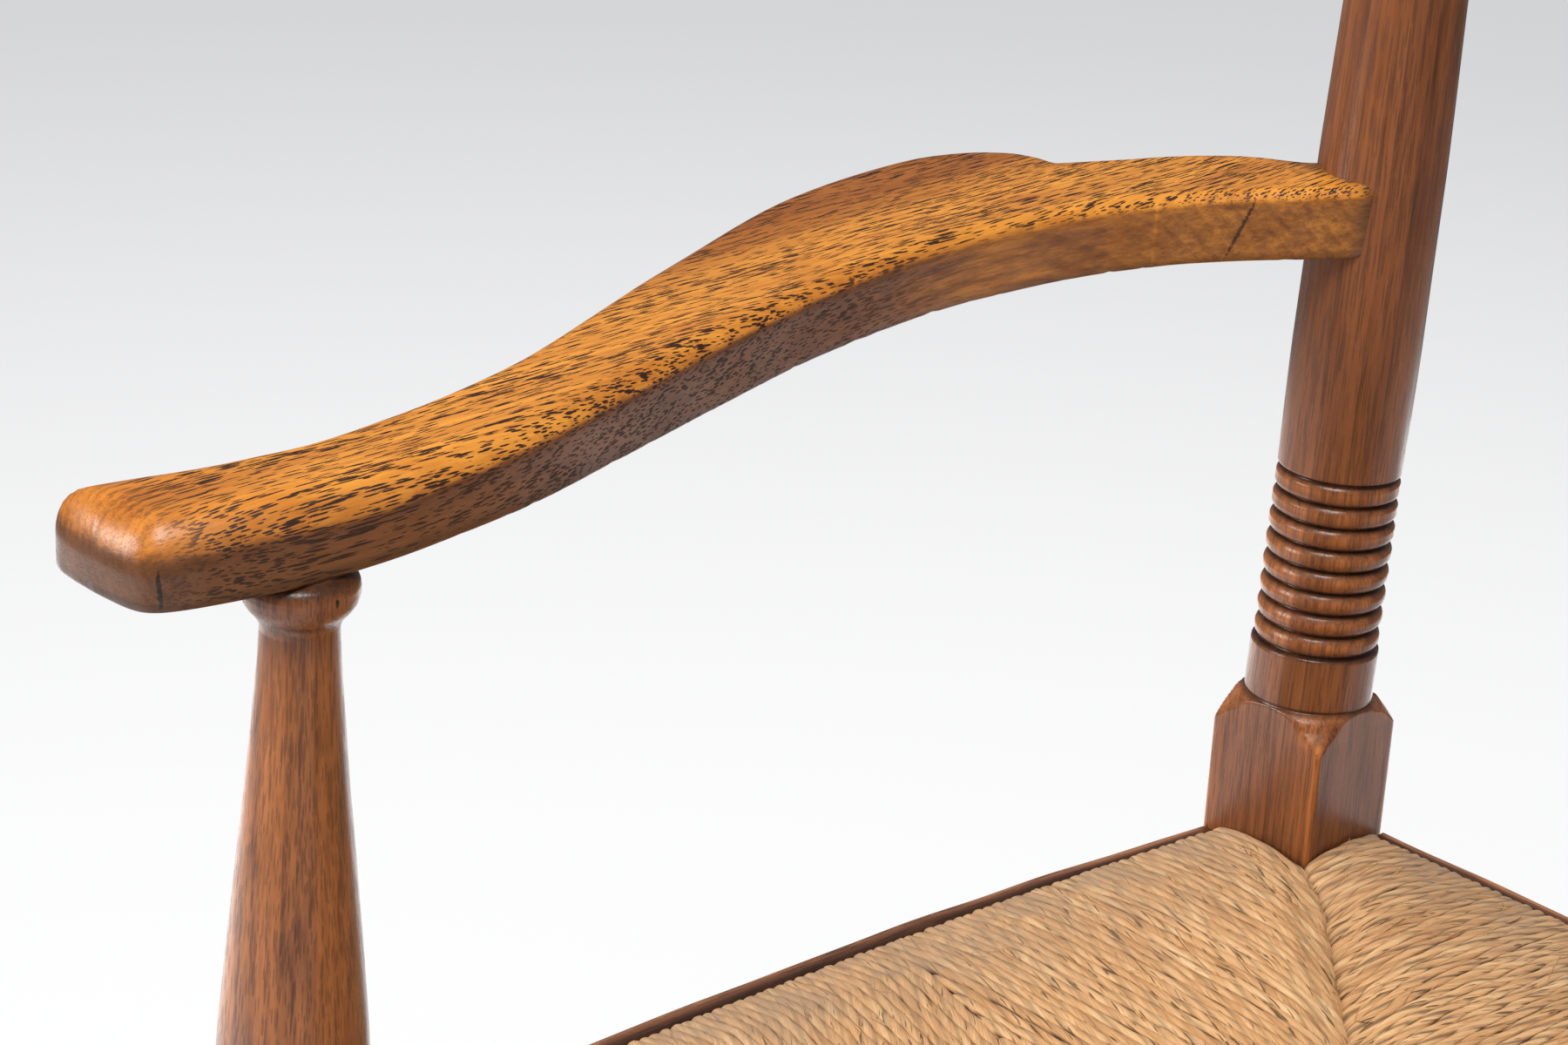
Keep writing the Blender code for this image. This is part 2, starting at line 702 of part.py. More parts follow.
def arm(word, side):
    shares, corners = arm_outline()
    points = []
    for share, out, forward in shares:
        across = back_half + (front_half - back_half) * share + out * arm_reach
        points.append((side * across, -seat_depth * share - forward * arm_nose_length))
    made = flat_outline(f"arm_{word}", points, arm_thickness, corners=corners, rounding=arm_edge_radius)
    made.matrix_local = arm_frame()
    middle = arm_frame().translation.z
    post_low, post_high = [back_point(side, middle + way * 2 * arm_thickness) for way in (-1, 1)]
    cope = rod(f"arm_cope_{word}", post_low, post_high, shaft_arm_radius + fit_gap, True, 2 * turned_steps)
    surface_y = back_point(side, middle).y - shaft_arm_radius
    surface = Vector((side * (back_half + arm_tenon_out), surface_y, middle))
    tenon_start = surface - Vector((0, arm_tenon_root, 0))
    tenon_end = surface + Vector((0, arm_tenon_length, 0))
    tenon = rod(f"arm_tenon_{word}", tenon_start, tenon_end, arm_tenon_radius, True)
    tenon_hole = rod(f"arm_tenon_hole_{word}", tenon_start, tenon_end + Vector((0, fit_gap, 0)),
                     arm_tenon_radius + fit_gap, True)
    cut(made, cope)
    join(made, tenon)
    paint(made, golden_oak_colour, 0.35)
    return made, tenon_hole, surface


def arm_front_joint(made, side, word):
    """Blind hole under the arm for the front post's tenon."""
    low = front_point(side, seat_height + arm_front_height - cutter_extra)
    high = front_point(side, seat_height + arm_front_height + support_tenon_length + fit_gap)
    cut(made, rod(f"support_tenon_hole_{word}", low, high, support_tenon_radius + fit_gap, True))


def peg(name, start, end, *bored):
    """Round peg with a hole for it through each piece that it holds."""
    made = rod(name, start, end, peg_radius, steps=peg_steps)
    paint(made, oak_colour, 0.5)
    along = (end - start).normalized()
    hole = rod(name + "_hole", start - along * 2 * cutter_extra, end + along * fit_gap,
               peg_radius + fit_gap, True, peg_steps)
    for piece in bored:
        cut(piece, hole)


def arm_peg(word, side, surface, post, made):
    """Peg through the side of a back post that locks the arm's tenon."""
    height = surface.z
    y = surface.y + arm_tenon_length * 0.55
    centre = back_point(side, height)
    outside = math.sqrt(shaft_arm_radius ** 2 - (y - centre.y) ** 2)
    peg_in = Vector((side * (back_half + arm_tenon_out - arm_tenon_radius * 1.2), y, height))
    peg_out = Vector((centre.x + side * outside, y, height))
    peg(f"arm_peg_{word}", peg_out, peg_in, post, made)


def slat_band(name):
    """Lowest and highest point of a slat at the posts, above the seat."""
    top = finial_base_height - slat_top_drop
    for word, height in slat_heights.items():
        if word == name:
            break
        top -= height + slat_spacing
    return top - slat_heights[name], top


def slat(name, grow=0.0, helper=False):
    """Slat that bows backwards and leans with the posts; grow makes the cutter for its mortises."""
    low, high = slat_band(name)
    bm = bmesh.new()
    bmesh.ops.create_grid(bm, x_segments=slat_grid, y_segments=2, size=1)
    half = back_point(1, seat_height + (low + high) / 2).x + slat_entry - shaft_top_radius + grow
    inside = back_point(1, seat_height + low).x - shaft_arm_radius
    for vert in bm.verts:
        u, v = vert.co.x, vert.co.y
        x = u * half
        open_share = min(1.0, abs(x) / inside)
        rise = slat_arch[name] * (1 - open_share ** 2)
        dip = slat_dip * (1 - open_share ** 2)
        bottom = low + dip - grow
        top = high + rise + grow
        height = seat_height + bottom + (top - bottom) * (v + 1) / 2
        bow = slat_bow * (1 - (x / half) ** 2)
        vert.co = (x, back_point(1, height).y + bow, height)
    made = mesh_object(f"{name}_slat" + ("_mortises" if helper else ""), bm, helper)
    shell = made.modifiers.new("Thickness", "SOLIDIFY")
    shell.thickness = slat_thickness + 2 * grow
    shell.offset = 0
    return made


def stretcher(name, start, end):
    """Turned stretcher between two legs' axes, and the cutter for its two sockets."""
    along = (end - start).normalized()
    first, last = start + along * stretcher_stop, end - along * stretcher_stop
    length = (last - first).length
    plain = leg_top_radius + stretcher_plain
    swell = stretcher_middle_radius - stretcher_end_radius
    outline = [(0, 0), (stretcher_end_radius, 0), (stretcher_end_radius, plain)]
    for share in (0.25, 0.5, 0.75):
        outline.append((stretcher_end_radius + swell * math.sin(math.pi * share), length * share))
    outline += [(stretcher_end_radius, length - plain), (stretcher_end_radius, length), (0, length)]
    made = turned(name, outline, steps=socket_steps)
    made.matrix_local = frame_along(first, along)
    paint(made, oak_colour, 0.45)
    socket = rod(name + "_sockets", first - along * fit_gap, last + along * fit_gap,
                 stretcher_end_radius + fit_gap, True)
    return made, socket


def paint(piece, colour, roughness, metallic=0.0):
    piece.data.materials.clear()
    piece.data.materials.append(wood_like(piece.name, colour, roughness, metallic))


def build_posts():
    posts = {}
    for word, side in SIDES.items():
        posts["back", word] = back_post(word, side)
        posts["front", word] = front_post(word, side)
    for post in posts.values():
        paint(post, oak_colour, 0.42)
    return posts


def build_seat(posts):
    rush = woven_rush()
    paint(rush, rush_colour, 0.9)
    notches = post_notches()
    cut(rush, packing_cavity(), *notches)
    rush_packing(notches)
    nails = {"right": side_nails, "left": side_nails, "front": front_nails, "back": back_nails}
    for name, count in nails.items():
        rail, socket, channel = seat_rail(name)
        strip = edge_strip(name)
        paint(rail, oak_colour, 0.6)
        paint(strip, strip_colour, 0.45)
        cut(rush, channel)
        for ends, post in posts.items():
            if name in ends:
                cut(post, socket)
        strip_nails(name, count, strip, rush, rail)


def build_arms(posts):
    for word, side in SIDES.items():
        made, tenon_hole, surface = arm(word, side)
        arm_front_joint(made, side, word)
        cut(posts["back", word], tenon_hole)
        arm_peg(word, side, surface, posts["back", word], made)


def build_slats(posts):
    for name in slat_heights:
        low, high = slat_band(name)
        made = slat(name)
        paint(made, oak_colour, 0.42)
        mortises = slat(name, grow=fit_gap, helper=True)
        for word, side in SIDES.items():
            post = posts["back", word]
            cut(post, mortises)
            middle = back_point(side, seat_height + (low + high) / 2)
            pegged = middle - Vector((side * (shaft_top_radius - slat_entry / 2), 0, 0))
            start = pegged - Vector((0, shaft_top_radius - peg_sunk, 0))
            peg(f"{name}_slat_peg_{word}", start, start + Vector((0, peg_length, 0)), post, made)


def build_stretchers(posts):
    for name, height in front_stretcher_heights.items():
        _, socket = stretcher(f"front_stretcher_{name}", front_point(-1, height), front_point(1, height))
        cut(posts["front", "right"], socket)
        cut(posts["front", "left"], socket)
    _, socket = stretcher("back_stretcher", back_point(-1, back_stretcher_height),
                          back_point(1, back_stretcher_height))
    cut(posts["back", "right"], socket)
    cut(posts["back", "left"], socket)
    for word, side in SIDES.items():
        for name, height in side_stretcher_heights.items():
            _, socket = stretcher(f"side_stretcher_{name}_{word}", back_point(side, height),
                                  front_point(side, height))
            cut(posts["back", word], socket)
            cut(posts["front", word], socket)


def settle_pieces():
    """Turns each piece's modifiers into plain faces, smooth where they are round."""
    bpy.context.view_layer.update()
    graph = bpy.context.evaluated_depsgraph_get()
    pieces = [piece for piece in chair_parts.objects if piece.type == "MESH"]
    finished = [bpy.data.meshes.new_from_object(piece.evaluated_get(graph)) for piece in pieces]
    for piece, mesh in zip(pieces, finished):
        piece.modifiers.clear()
        piece.data = mesh
        mesh.shade_smooth()
        mesh.set_sharp_from_angle(angle=sharp_angle)
    return pieces


def centre_chair(pieces):
    """Moves the chair so that its box is centred front to back; it already is from side to side."""
    depths = [(piece.matrix_world @ vert.co).y for piece in pieces for vert in piece.data.vertices]
    chair_origin.location.y = -(min(depths) + max(depths)) / 2


chair_posts = build_posts()
build_seat(chair_posts)
build_arms(chair_posts)
build_slats(chair_posts)
build_stretchers(chair_posts)
centre_chair(settle_pieces())
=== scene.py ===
# %% [markdown]
# # An oak armchair with a rush seat
#
# The chair has turned oak posts, flat curved arms, bowed back slats and a seat woven from twisted rush.
# Its construction is loaded as a fixed frame. This lesson makes the fine surfaces that go over it: every
# piece is worked out with numpy as a grid of points, and finished with wood or rush built from nodes.

# %% Load the frame
import json
import math

import bpy
import numpy as np
from mathutils import Matrix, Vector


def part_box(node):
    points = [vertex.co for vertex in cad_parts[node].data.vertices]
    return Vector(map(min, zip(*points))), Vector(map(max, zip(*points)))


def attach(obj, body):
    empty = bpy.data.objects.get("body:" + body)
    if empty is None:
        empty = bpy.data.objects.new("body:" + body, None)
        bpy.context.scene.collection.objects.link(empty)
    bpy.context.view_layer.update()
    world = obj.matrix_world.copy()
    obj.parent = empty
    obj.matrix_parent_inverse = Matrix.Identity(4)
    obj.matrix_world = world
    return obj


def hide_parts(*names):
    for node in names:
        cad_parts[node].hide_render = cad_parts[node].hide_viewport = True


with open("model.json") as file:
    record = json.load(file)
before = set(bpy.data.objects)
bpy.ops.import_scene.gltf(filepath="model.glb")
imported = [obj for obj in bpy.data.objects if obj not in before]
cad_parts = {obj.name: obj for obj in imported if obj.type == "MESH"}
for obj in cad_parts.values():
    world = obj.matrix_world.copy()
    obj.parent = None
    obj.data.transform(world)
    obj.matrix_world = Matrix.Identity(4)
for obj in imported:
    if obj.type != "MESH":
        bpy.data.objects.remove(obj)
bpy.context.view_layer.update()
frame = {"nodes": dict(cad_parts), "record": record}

MM = 0.001
SIDES = {"right": -1, "left": 1}
print("pieces in the frame:", len(frame["nodes"]))

# %% [markdown]
# ## Places that the frame gives
#
# The feet of the chair are its mounts, so they tell where the posts stand. Heights "above the seat" start
# at the top of the edge strips. "Forward" is the distance in front of the back posts' centre line.

# %% Where the posts stand
feet = {mount["name"]: np.array(mount["pos_m"]) for mount in frame["record"]["mounts"]}
back_half, back_line = feet["foot_back_left"][:2]
seat_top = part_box("right_edge_strip")[1].z
block_half = 20.8 * MM
seat_depth = 386.2 * MM
front_half = 237.3 * MM
seat_splay = math.atan2(front_half - back_half, seat_depth)
bend_height = 47.3 * MM
back_rake, back_splay = math.radians(4.44), math.radians(1.27)
front_rake, front_lean = math.radians(0.93), math.radians(0.33)
block_turn = math.radians(1.95)
post_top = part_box("back_post_left")[1].z - seat_top
print(f"seat {seat_top:.3f} m high, post tops {post_top:.3f} m above it")

# %% [markdown]
# ## From a grid of points to a mesh
#
# Most pieces are tubes in the widest sense: rows of points along the piece, columns round it. `skin` joins
# neighbours into quads, closes both ends with a fan, and turns the faces outwards if the enclosed volume
# comes out negative. Each piece also stores `grain_at`, its points in the wood's own space with Z along the
# grain, so that the figure of the wood follows the piece, whatever way the piece leans.

# %% Mesh helpers
def stacked(*parts):
    """Coordinates from numbers or arrays that spread over each other."""
    return np.stack(np.broadcast_arrays(*parts), axis=-1)


def shell_faces(rows, columns, start=0):
    """Quads of a grid that closes on itself, and the two fans of its ends, whose centres come last."""
    index = start + np.arange(rows * columns).reshape(rows, columns)
    across = np.roll(index, -1, axis=1)
    quads = stacked(index[:-1], across[:-1], across[1:], index[1:]).reshape(-1, 4)
    first, last = start + rows * columns, start + rows * columns + 1
    fans = [stacked(across[0], index[0], np.full(columns, first)),
            stacked(index[-1], across[-1], np.full(columns, last))]
    return quads, np.concatenate(fans)


def with_ends(values):
    """Grid values as a flat list, followed by the mean of the first row and of the last row."""
    flat = values.reshape(values.shape[0] * values.shape[1], -1)
    return np.concatenate([flat, [values[0].reshape(values.shape[1], -1).mean(0)],
                           [values[-1].reshape(values.shape[1], -1).mean(0)]])


def build_mesh(name, vertices, quads, triangles):
    """Mesh from arrays; its faces are reversed if the signed volume of the triangles is negative."""
    halves = np.concatenate([quads[:, [0, 1, 2]], quads[:, [0, 2, 3]], triangles])
    corners = vertices[halves]
    volume = np.einsum("ij,ij->i", corners[:, 0], np.cross(corners[:, 1], corners[:, 2])).sum()
    if volume < 0:
        quads, triangles = quads[:, ::-1], triangles[:, ::-1]
    mesh = bpy.data.meshes.new(name)
    mesh.vertices.add(len(vertices))
    mesh.vertices.foreach_set("co", vertices.astype(np.float32).ravel())
    mesh.loops.add(quads.size + triangles.size)
    order = np.concatenate([quads.ravel(), triangles.ravel()])
    mesh.loops.foreach_set("vertex_index", order.astype(np.int32))
    starts = np.concatenate([np.arange(len(quads)) * 4, quads.size + np.arange(len(triangles)) * 3])
    mesh.polygons.add(len(starts))
    mesh.polygons.foreach_set("loop_start", starts.astype(np.int32))
    mesh.update(calc_edges=True)
    mesh.validate()
    mesh.shade_smooth()
    return mesh


def add_values(mesh, **values):
    """Store a number or a vector for each point of the mesh."""
    for name, numbers in values.items():
        is_vector = numbers.ndim == 2 and numbers.shape[1] == 3
        kind, key = ("FLOAT_VECTOR", "vector") if is_vector else ("FLOAT", "value")
        attribute = mesh.attributes.new(name, kind, "POINT")
        attribute.data.foreach_set(key, numbers.astype(np.float32).ravel())


made_pieces = {}


def add_piece(name, mesh, material, nodes):
    """Object at the origin that rides with the chair and stands for the frame's nodes."""
    piece = bpy.data.objects.new(name, mesh)
    bpy.context.scene.collection.objects.link(piece)
    mesh.materials.append(material)
    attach(piece, "root")
    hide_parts(*nodes)
    made_pieces[name] = piece
    return piece


def skin(name, points, grain, material, nodes, slot, **values):
    """Piece from one grid of points, with its place in the wood and any other value for each point."""
    quads, triangles = shell_faces(*points.shape[:2])
    mesh = build_mesh(name, with_ends(points), quads, triangles)
    add_values(mesh, grain_at=with_ends(grain))
    for key, numbers in values.items():
        add_values(mesh, **{key: with_ends(np.broadcast_to(numbers, points.shape[:2]))})
    return add_piece(name, mesh, material, nodes)


def smooth_path(knots, where):
    """Points of a curve through the knots, which are rows of coordinates, at places counted in knots.

    Between two knots it is a cubic whose slopes at the knots are half the way between their neighbours.
    """
    knots = np.array(knots, float)
    slopes = np.gradient(knots, axis=0)
    i = np.minimum(where.astype(int), len(knots) - 2)
    t = (where - i)[:, None]
    return (knots[i] * (2 * t**3 - 3 * t**2 + 1) + slopes[i] * (t**3 - 2 * t**2 + t)
            + knots[i + 1] * (3 * t**2 - 2 * t**3) + slopes[i + 1] * (t**3 - t**2))


def soft_step(low, high, x):
    """0 below low, 1 above high, and a smooth S between them."""
    t = np.clip((x - low) / (high - low), 0, 1)
    return t * t * (3 - 2 * t)


def bell(x, middle, width):
    """Bell curve: 1 in the middle, and falling off over the width."""
    return np.exp(-((x - middle) / width)**2)


def ripple(x, seed, count=6, shortest=1.0, longest=8.0):
    """Smooth random curve of about unit height: a sum of sines with wavelengths between the two given."""
    draw = np.random.default_rng(seed)
    waves = np.exp(draw.uniform(math.log(shortest), math.log(longest), count))
    phases = draw.uniform(0, 2 * math.pi, count)
    curves = [np.sin(2 * math.pi * x / wave + phase) for wave, phase in zip(waves, phases)]
    return sum(curves) / math.sqrt(count)


# %% [markdown]
# ## Building materials from nodes
#
# A few helpers keep node trees readable. An effect that several materials share, such as the figure of oak,
# is a node group: its inputs are colours and amounts, its outputs feed the shader of each material.

# %% Node helpers
def connect(tree, inputs, **sockets):
    """Set or connect inputs by name, with _ for a space, or by number as i0, i1, ..."""
    for key, value in sockets.items():
        socket = inputs[int(key[1:])] if key[1:].isdigit() else inputs[key.replace("_", " ")]
        if isinstance(value, bpy.types.NodeSocket):
            tree.links.new(value, socket)
        else:
            socket.default_value = value


def node(tree, kind, settings=None, **sockets):
    """Add a node, set its options, and set or connect its inputs."""
    made = tree.nodes.new("ShaderNode" + kind)
    for key, value in (settings or {}).items():
        setattr(made, key, value)
    connect(tree, made.inputs, **sockets)
    return made


def calc(tree, operation, a, b=0.0, clamp=False):
    """One step of arithmetic on two values; clamp keeps the result between 0 and 1."""
    return node(tree, "Math", {"operation": operation, "use_clamp": clamp}, i0=a, i1=b).outputs[0]


def times(tree, a, b, clamp=False):
    return calc(tree, "MULTIPLY", a, b, clamp)


def plus(tree, a, b, clamp=False):
    return calc(tree, "ADD", a, b, clamp)


def minus(tree, a, b):
    return calc(tree, "SUBTRACT", a, b)


def vector_math(tree, operation, a, b=(0.0, 0.0, 0.0), c=(0.0, 0.0, 0.0)):
    """The same on vectors; LENGTH gives one number."""
    made = node(tree, "VectorMath", {"operation": operation}, i0=a, i1=b, i2=c)
    return made.outputs["Value" if operation == "LENGTH" else "Vector"]


def stretched(tree, vector, scales):
    """A place multiplied axis by axis: a texture is drawn out where the factor is small."""
    return vector_math(tree, "MULTIPLY", vector, scales)


def mixed(tree, factor, a, b, blend="MIX"):
    """Mix of two colours: a where the factor is 0, b where it is 1."""
    return node(tree, "Mix", {"data_type": "RGBA", "blend_type": blend}, i0=factor, i6=a, i7=b).outputs[2]


def between(tree, value, low, high, out_low=0.0, out_high=1.0):
    """Smooth ramp of a value from one range to another."""
    return node(tree, "MapRange", {"interpolation_type": "SMOOTHSTEP"}, i0=value, i1=low, i2=high,
                i3=out_low, i4=out_high).outputs[0]


def noise(tree, vector, scale=1.0, detail=2.0, roughness=0.5, output=0):
    """Cloudy noise about 0.5; its output "Color" holds three of them."""
    made = node(tree, "TexNoise", Vector=vector, Scale=scale, Detail=detail, Roughness=roughness)
    return made.outputs[output]


def object_place(tree):
    """Place in the piece's own space, in metres."""
    return node(tree, "TexCoord").outputs["Object"]


def point_value(tree, name, vector=False):
    """What the mesh stores for its points under this name."""
    return node(tree, "Attribute", {"attribute_name": name}).outputs["Vector" if vector else "Fac"]


def new_group(name, inputs, outputs):
    """Node group with its input and output nodes; inputs maps a name to a default value."""
    group = bpy.data.node_groups.new(name, "ShaderNodeTree")
    for key, value in inputs.items():
        kind = "Float" if isinstance(value, float) else {4: "Color", 3: "Vector"}[len(value)]
        made = group.interface.new_socket(key, in_out="INPUT", socket_type="NodeSocket" + kind)
        made.default_value = value
    for key, kind in outputs.items():
        group.interface.new_socket(key, in_out="OUTPUT", socket_type="NodeSocket" + kind)
    return group, group.nodes.new("NodeGroupInput").outputs, group.nodes.new("NodeGroupOutput").inputs


def use_group(tree, group, **sockets):
    """Add a node group to a tree, and set or connect its inputs."""
    made = tree.nodes.new("ShaderNodeGroup")
    made.node_tree = group
    connect(tree, made.inputs, **sockets)
    return made.outputs


def new_material(name):
    """A new material, its node tree and its shader."""
    material = bpy.data.materials.new(name)
    material.use_nodes = True
    tree = material.node_tree
    return material, tree, tree.nodes["Principled BSDF"]


def bumps(tree, strength, distance, height):
    """Relief that shows in the light and isn't modelled."""
    return node(tree, "Bump", Strength=strength, Distance=distance, Height=height).outputs[0]


def colour(red, green, blue):
    """Opaque colour in linear light."""
    return (red, green, blue, 1.0)


# %% [markdown]
# ## The figure of oak
#
# Oak is ring porous: each year's growth starts with a row of wide vessels. Where the surface follows the
# grain these vessels show as long dark dashes, and where it cuts the grain they show as short specks. A
# solid texture gives both for nothing: scattered cells that are stretched along the grain in the wood's own
# space, cut by whatever surface runs through them. The core of each cell is a vessel, wider in early wood.

# %% Oak figure group
figure, wood_in, wood_out = new_group(
    "oak figure",
    {"Place": (0.0, 0.0, 0.0), "Light": colour(0.5, 0.2, 0.05), "Dark": colour(0.25, 0.08, 0.02),
     "Vessel": colour(0.03, 0.012, 0.006), "Vessel scale": (1300.0, 1300.0, 80.0), "Ring pitch": 0.003,
     "Vessels": 1.0, "Streaks": 1.0},
    {"Color": "Color", "Vessels": "Float", "Height": "Float"})
bend = noise(figure, stretched(figure, wood_in["Place"], (22, 22, 5)), detail=1.0, output="Color")
bend = vector_math(figure, "SUBTRACT", bend, (0.5, 0.5, 0.5))
place = vector_math(figure, "MULTIPLY_ADD", bend, (0.004, 0.004, 0.0), wood_in["Place"])
heart_distance = vector_math(figure, "LENGTH", stretched(figure, place, (1, 1, 0)))
ring = calc(figure, "FRACT", calc(figure, "DIVIDE", heart_distance, wood_in["Ring pitch"]))
early = between(figure, ring, 0.12, 0.7, 1.0, 0.0)
crowding = noise(figure, stretched(figure, place, (170, 170, 16)), detail=2.0)
core = plus(figure, between(figure, crowding, 0.3, 0.7, 0.28, 0.44), times(figure, early, 0.13))
ragged = noise(figure, stretched(figure, place, (2200, 2200, 500)), detail=1.0)
cells = node(figure, "TexVoronoi", Vector=stretched(figure, place, wood_in["Vessel scale"]), Scale=1.0)
apart = plus(figure, cells.outputs["Distance"], between(figure, ragged, 0.3, 0.7, -0.06, 0.06))
vessels = between(figure, minus(figure, apart, core), -0.08, 0.04, 1.0, 0.0)
vessels = times(figure, vessels, wood_in["Vessels"], clamp=True)
fine = noise(figure, stretched(figure, place, (900, 900, 14)), detail=3.0, roughness=0.6)
broad = noise(figure, stretched(figure, place, (110, 110, 9)), detail=4.0, roughness=0.6)
streaks = plus(figure, between(figure, fine, 0.35, 0.7, 0.0, 0.45),
               between(figure, broad, 0.38, 0.7, 0.0, 0.65))
shade = plus(figure, times(figure, early, 0.18), times(figure, streaks, 0.8))
shade = times(figure, shade, wood_in["Streaks"], clamp=True)
timber = mixed(figure, shade, wood_in["Light"], wood_in["Dark"])
timber = mixed(figure, vessels, timber, wood_in["Vessel"])
height = minus(figure, times(figure, fine, 0.25), vessels)
connect(figure, wood_out, Color=timber, Vessels=vessels, Height=height)

# %% [markdown]
# ## Three finishes of the same oak
#
# The posts are stained and waxed: red-brown, with dark wax left in the grooves, paler edges where handling
# has taken the stain off, and painted highlights on the ring crests and the blocks' upper shoulders. The arms
# have lost their stain where hands rub them, down to golden wood; their walls are darker, with stain and
# painted shade. The edge strips are darkest, with painted shade on their inner faces and a painted highlight
# on top.

# %% Oak finishes
def marked(tree, shown, around, marks):
    """Dark marks: ellipsoids by centre, half sizes in metres, lean and strength, ragged at their edges."""
    ragged = noise(tree, around, 900.0, 3.0, 0.7)
    for centre, half_sizes, lean, strength in marks:
        apart = vector_math(tree, "SUBTRACT", around, centre)
        apart = node(tree, "VectorRotate", {"rotation_type": "Y_AXIS"}, Vector=apart, Angle=lean).outputs[0]
        apart = vector_math(tree, "LENGTH", stretched(tree, apart, tuple(1 / size for size in half_sizes)))
        apart = plus(tree, apart, between(tree, ragged, 0.3, 0.7, -0.35, 0.35))
        inside = between(tree, apart, 0.65, 1.05, strength, 0.0)
        shown = mixed(tree, inside, shown, colour(0.018, 0.008, 0.005))
    return shown


def oak_material(name, light, dark, vessel, scale, ring_pitch, vessel_share, streaks, roughness, grime, worn,
                 second=None, marks=(), relief=0.3):
    """Oak with a soft shine, darkened by dirt, wax and in places painted shade, and lightened by wear and in
    places painted highlights, where each point of a piece says so.

    Where a piece's value `filled` is 1 its vessels don't show. `second` is a pair of colours (light, dark)
    that takes over where its value `side` is 1; on the arms' walls it is darker stain and painted shade
    together.
    Marks on an arm are measured as the arm's outline is.
    """
    material, tree, shader = new_material(name)
    place = point_value(tree, "grain_at", vector=True)
    patches = noise(tree, stretched(tree, place, (90, 90, 30)), detail=4.0, roughness=0.65)
    # Lightening by wear, and by painted highlights where a piece stores them
    rub_and_highlight = times(tree, point_value(tree, "worn"), between(tree, patches, 0.25, 0.55, 0.5, 1.0))
    light = mixed(tree, rub_and_highlight, light, worn)
    if second:
        torn = noise(tree, stretched(tree, place, (420, 420, 60)), detail=4.0, roughness=0.7)
        side = plus(tree, point_value(tree, "side"), between(tree, torn, 0.3, 0.7, -0.1, 0.1))
        side = between(tree, side, 0.15, 0.85)
        light = mixed(tree, side, light, second[0])
        dark = mixed(tree, side, dark, second[1])
    vessels = times(tree, minus(tree, 1.0, point_value(tree, "filled")), vessel_share)
    wood = use_group(tree, figure, Place=place, Light=light, Dark=dark, Vessel=vessel, Vessel_scale=scale,
                     Ring_pitch=ring_pitch, Vessels=vessels, Streaks=streaks)
    stain = noise(tree, stretched(tree, place, (36, 36, 14)), detail=5.0, roughness=0.7)
    shown = mixed(tree, between(tree, stain, 0.5, 0.75, 0.0, 0.5), wood["Color"], dark)
    # Darkening by dirt and wax, and by painted shade where a piece stores it
    dirt_and_shade = times(tree, point_value(tree, "grime"), between(tree, patches, 0.25, 0.6, 0.6, 1.0))
    shown = mixed(tree, dirt_and_shade, shown, grime)
    if marks:
        around = point_value(tree, "arm_at", vector=True) if second else object_place(tree)
        shown = marked(tree, shown, around, marks)
    gloss = plus(tree, between(tree, patches, 0.3, 0.7, roughness - 0.05, roughness + 0.07),
                 times(tree, wood["Vessels"], 0.25))
    connect(tree, shader.inputs, Base_Color=shown, Roughness=gloss,
            Normal=bumps(tree, relief, 0.22 * MM, wood["Height"]))
    return material


# Crack at the nose's corner, two knocks, and a split across the inner wall near the back post
arm_marks = [((0.4252, 0.0318, -0.017), (0.0007, 0.0007, 0.0070), -0.1, 0.9),
             ((0.385, 0.0195, -0.002), (0.0013, 0.0018, 0.0022), 0.0, 0.9),
             ((0.175, 0.0450, -0.003), (0.0020, 0.0020, 0.0018), 0.0, 0.8),
             ((0.0378, 0.0160, -0.012), (0.0006, 0.0100, 0.0110), 0.36, 0.8)]
worm_hole = [((-0.2212, -0.2010, 0.6229), (0.0009, 0.0009, 0.0010), 0.0, 1.0)]
stained_oak = oak_material(
    "stained oak", colour(0.29, 0.098, 0.032), colour(0.125, 0.038, 0.013), colour(0.035, 0.014, 0.008),
    (1600.0, 1600.0, 65.0), 0.0036, 0.40, 1.0, 0.26, grime=colour(0.012, 0.006, 0.004),
    worn=colour(0.58, 0.19, 0.045), marks=worm_hole, relief=0.2)
# Its second pair of colours darkens the arms' walls with stain and painted shade
golden_oak = oak_material(
    "golden oak", colour(0.60, 0.175, 0.022), colour(0.39, 0.105, 0.013), colour(0.040, 0.014, 0.006),
    (1550.0, 1550.0, 115.0), 0.0026, 1.0, 0.85, 0.28, grime=colour(0.05, 0.020, 0.008),
    worn=colour(0.92, 0.37, 0.045), second=(colour(0.22, 0.078, 0.024), colour(0.095, 0.033, 0.011)),
    marks=arm_marks)
# Its lightening colour shows only as the painted highlight along the strips' outer top edges
strip_oak = oak_material(
    "strip oak", colour(0.27, 0.104, 0.048), colour(0.12, 0.043, 0.021), colour(0.02, 0.009, 0.005),
    (1200.0, 1200.0, 60.0), 0.0030, 0.5, 1.0, 0.38, grime=colour(0.016, 0.009, 0.006),
    worn=colour(0.62, 0.27, 0.11))

# %% [markdown]
# ## Turned and squared posts
#
# A post is one length of wood, turned round except at the seat, where a square block is left for the rails.
# In polar terms both are a distance from the axis: the turned shape depends on the height alone, the square
# on the angle alone, and the lathe leaves whichever is smaller. That gives the curved shoulders of the
# block without any cutting. A back post also bends at the top of its block, so its rows follow two axes.

